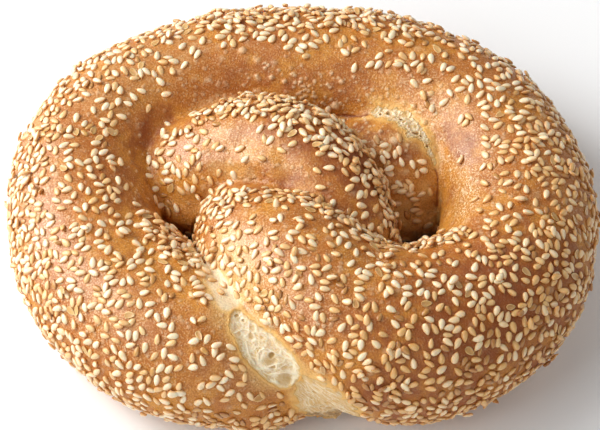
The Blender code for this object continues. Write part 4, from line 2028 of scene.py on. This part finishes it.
    def browned_and_shaded(self, places: Array, kinds: Array) -> tuple[Array, Array]:
        """Brown the seeds where the loaf baked hottest, partly as painted shade on its shaded sides.

        Args:
            places: The spots, in mm.
            kinds: The number of each spot's kind of seed.

        Returns:
            The kinds, some moved to the next browner one, and each seed's tint from 0 to 1.
        """
        rng = np.random.default_rng(self.seed + 1)
        heat = strongest(BROWNED_AND_SHADED_SEEDS, places)
        browner = (kinds < 2) & (rng.random(len(places)) < 0.7 * heat ** (1 + 2 * kinds))
        # Each tint is random, darkened by the region's amount, which is partly painted shade.
        tints = np.clip(0.8 * rng.random(len(places)) + 0.6 * heat, 0, 1)
        return np.where(browner, kinds + 1, kinds), tints

    def cell_of(self, place: Array) -> tuple[int, int, int]:
        """Return the search grid's cell that holds a place."""
        x, y, z = np.floor(place / self.cell).astype(int)
        return int(x), int(y), int(z)

    def best_heading(
        self, rng: np.random.Generator, layer: dict, place: Array, normal: Array, size: float
    ) -> tuple[Array, float]:
        """Find the way a seed can lie with the least clash.

        Args:
            rng: The coat's random numbers.
            layer: The seeds laid so far, by grid cell.
            place: The seed's spot.
            normal: The crust's direction there.
            size: The seed's scale.

        Returns:
            The heading, and how far the seed runs into its worst neighbour.
        """
        side = unit(np.cross(normal, (0.31, 0.77, 0.55)))  # any way that isn't the normal's
        other = np.cross(normal, side)
        turns = rng.uniform(0, math.tau, self.spins)
        ways = np.cos(turns)[:, None] * side + np.sin(turns)[:, None] * other
        x, y, z = self.cell_of(place)
        near = [
            ball
            for i in (x - 1, x, x + 1)
            for j in (y - 1, y, y + 1)
            for k in (z - 1, z, z + 1)
            for ball in layer.get((i, j, k), ())
        ]
        if not near:
            return ways[0], -1.0
        theirs = np.concatenate([middle for middle, _ in near])
        radii = np.concatenate([radius for _, radius in near])
        mine = place + ways[:, None, :] * (BALL_PLACES * size)[None, :, None]
        away = np.linalg.norm(mine[:, :, None, :] - theirs, axis=3)
        clash = (BALL_RADII * size)[None, :, None] + radii - away
        worst = clash.max(axis=(1, 2))
        best = int(worst.argmin())
        return ways[best], float(worst[best])

    def coat_tree(self) -> NodeTree:
        """Return the tree that sets one seed on each laid spot."""
        bench = GeometryBench("sesame_coat", {"Seed": "NodeSocketObject"})
        normal, heading, lean, scale = (
            bench.stored(name, "FLOAT_VECTOR") for name in (NORMAL, HEADING, LEAN, SCALE)
        )
        align = "FunctionNodeAlignRotationToVector"
        upright = bench.add(align, {"axis": "Z"}, {"Vector": normal})
        headed = bench.add(
            align, {"axis": "X", "pivot_axis": "Z"}, {"Rotation": upright, "Vector": heading}
        )
        leaning = bench.add("FunctionNodeEulerToRotation", inputs={0: lean})
        turned = bench.add(
            "FunctionNodeRotateRotation",
            {"rotation_space": "LOCAL"},
            {"Rotation": headed, "Rotate By": leaning},
        )
        shape = bench.add("GeometryNodeObjectInfo", inputs={"Object": bench.given("Seed")})
        seeds = bench.add(
            "GeometryNodeInstanceOnPoints",
            inputs={
                "Points": bench.given("Geometry"),
                "Instance": shape.output("Geometry"),
                "Rotation": turned,
                "Scale": scale,
            },
        )
        return bench.finish(seeds)

    def build(self, crust: Object) -> list[Object]:
        """Lay the seeds on the crust.

        Args:
            crust: The finished crust.

        Returns:
            One piece for each kind of seed.
        """
        spots = run_tree("spots", crust.data.copy(), self.spot_tree(), {
            "Gap": self.spot_gap * MM,
            "Density": self.spots / MM**2,
            "Random Seed": self.seed,
        })
        places = to_layout(read_points(spots))
        normals = unit(read_rows(spots.attributes[NORMAL].data, "vector"))
        openness = read_rows(spots.attributes[OPEN].data, "value", 1)[:, 0]
        bed = self.lay(places, normals, openness)
        tree = self.coat_tree()
        pieces = []
        for number, kind in enumerate(SEED_KINDS):
            chosen = bed[KIND] == number
            base = bpy.data.meshes.new("laid_spots")
            base.from_pydata(to_part(bed[PLACE][chosen]), [], [])
            for label in SEED_PAINT:
                paint(base, label, bed[label][chosen])
            name = kind.finish.name
            pattern = bpy.data.objects.new("pattern", self.form.mesh("pattern", kind.shape))
            values = {"Seed": pattern, "Material": kind.finish.material()}
            mesh = run_tree(name, base, tree, values)
            bpy.data.objects.remove(pattern)
            LOG.info("%s: %d seeds", name, int(chosen.sum()))
            pieces.append(linked_object(name, mesh))
        return pieces


# ---- studio


@dataclass(frozen=True)
class Lamp:
    """One soft light, placed round the loaf: azimuth 0 is in front and 90 at the right."""

    name: str
    azimuth: float  # degrees
    elevation: float
    power: float  # watts
    side: float = 0.45  # metres
    distance: float = 0.90

    def place(self, aim: Vector) -> Vector:
        """Return where the light stands when it aims at this point."""
        turn, rise = math.radians(self.azimuth), math.radians(self.elevation)
        flat = math.cos(rise)
        way = Vector((math.sin(turn) * flat, -math.cos(turn) * flat, math.sin(rise)))
        return aim + way * self.distance


@dataclass(frozen=True)
class Studio:
    """A pale floor, soft light from the left and a camera above the front."""

    aim: Point = (-0.000466, -0.003447, 0.020)
    elevation: float = 55.0  # degrees above the floor
    distance: float = 0.650
    focal_share: float = 4.2905  # focal length as a share of the frame's width
    nudge: float = 0.00025  # the aim stands this far above the frame's middle
    sensor: float = 36.0
    floor_side: float = 6.0
    floor_colour: Colour = (0.93, 0.93, 0.93)
    floor_roughness: float = 0.8
    floor_specular: float = 0.1
    sky: float = 0.05
    lamps: tuple[Lamp, ...] = (
        Lamp("left_lamp", 252, 24, 7.6, 0.60),
        Lamp("high_left_lamp", 258, 50, 3.4, 0.42),
        Lamp("front_left_lamp", 302, 40, 2.2, 0.42),
        Lamp("back_lamp", 204, 46, 2.5, 1.20),
        Lamp("right_lamp", 85, 46, 0.65, 1.00),
        Lamp("back_right_lamp", 120, 28, 1.1, 0.80),
        Lamp("front_lamp", 8, 26, 2.1, 0.60),
    )

    def build(self) -> None:
        """Add the floor, the lights, the sky and the camera."""
        self.add_floor()
        self.add_camera()
        for lamp in self.lamps:
            light = bpy.data.lights.new(lamp.name, "AREA")
            light.size = lamp.side
            light.energy = lamp.power
            obj = linked_object(lamp.name, light)
            place = lamp.place(Vector(self.aim))
            obj.location = place
            obj.rotation_euler = (Vector(self.aim) - place).to_track_quat("-Z", "Y").to_euler()
        world = bpy.data.worlds.new("studio_sky")
        world.use_nodes = True
        sky = world.node_tree.nodes["Background"]
        sky.inputs["Color"].default_value = (1.0, 1.0, 1.0, 1.0)
        sky.inputs["Strength"].default_value = self.sky
        bpy.context.scene.world = world
        bpy.context.scene.view_settings.view_transform = "Standard"

    def add_floor(self) -> None:
        """Add the pale floor."""
        plane = bmesh.new()
        bmesh.ops.create_grid(plane, x_segments=1, y_segments=1, size=self.floor_side / 2)
        mesh = bpy.data.meshes.new("floor")
        plane.to_mesh(mesh)
        plane.free()
        material, bench, shader = new_material("pale_floor")
        bench.fill(shader, {
            "Base Color": self.floor_colour,
            "Roughness": self.floor_roughness,
            "Specular IOR Level": self.floor_specular,
        })
        mesh.materials.append(material)
        linked_object("floor", mesh)

    def add_camera(self) -> None:
        """Add the camera at the photograph's angle."""
        lens = bpy.data.cameras.new("camera")
        lens.sensor_fit = "HORIZONTAL"
        lens.sensor_width = self.sensor
        lens.lens = self.sensor * self.focal_share
        lens.clip_start = 0.01
        camera = linked_object("camera", lens)
        rise = math.radians(self.elevation)
        up = Vector((0, math.sin(rise), math.cos(rise)))
        back = Vector((0, -math.cos(rise), math.sin(rise)))
        camera.location = Vector(self.aim) + up * self.nudge + back * self.distance
        camera.rotation_euler = (math.pi / 2 - rise, 0, 0)
        bpy.context.scene.camera = camera


# ---- putting it together


def attach(piece: Object) -> None:
    """Make a piece ride on the part and stand for its solid."""
    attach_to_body(piece, BODY)
    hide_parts(NODE)
    triangles = len(piece.data.loops) - 2 * len(piece.data.polygons)
    LOG.info("%s: %d triangles", piece.name, triangles)


def main() -> None:
    """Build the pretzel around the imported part."""
    logging.basicConfig(level=logging.INFO, format="%(relativeCreated)6.0f ms  %(message)s")
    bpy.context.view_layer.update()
    Studio().build()
    crust, whole = Crust(Dough(), TEARS, CrustFinish()).build()
    attach(crust)
    crumb_material = CrumbFinish().material()
    for tear in TEARS:
        attach(Crumb(tear).build(whole, crumb_material))
    for piece in SesameCoat().build(crust):
        attach(piece)


if __name__ == "__main__":
    main()
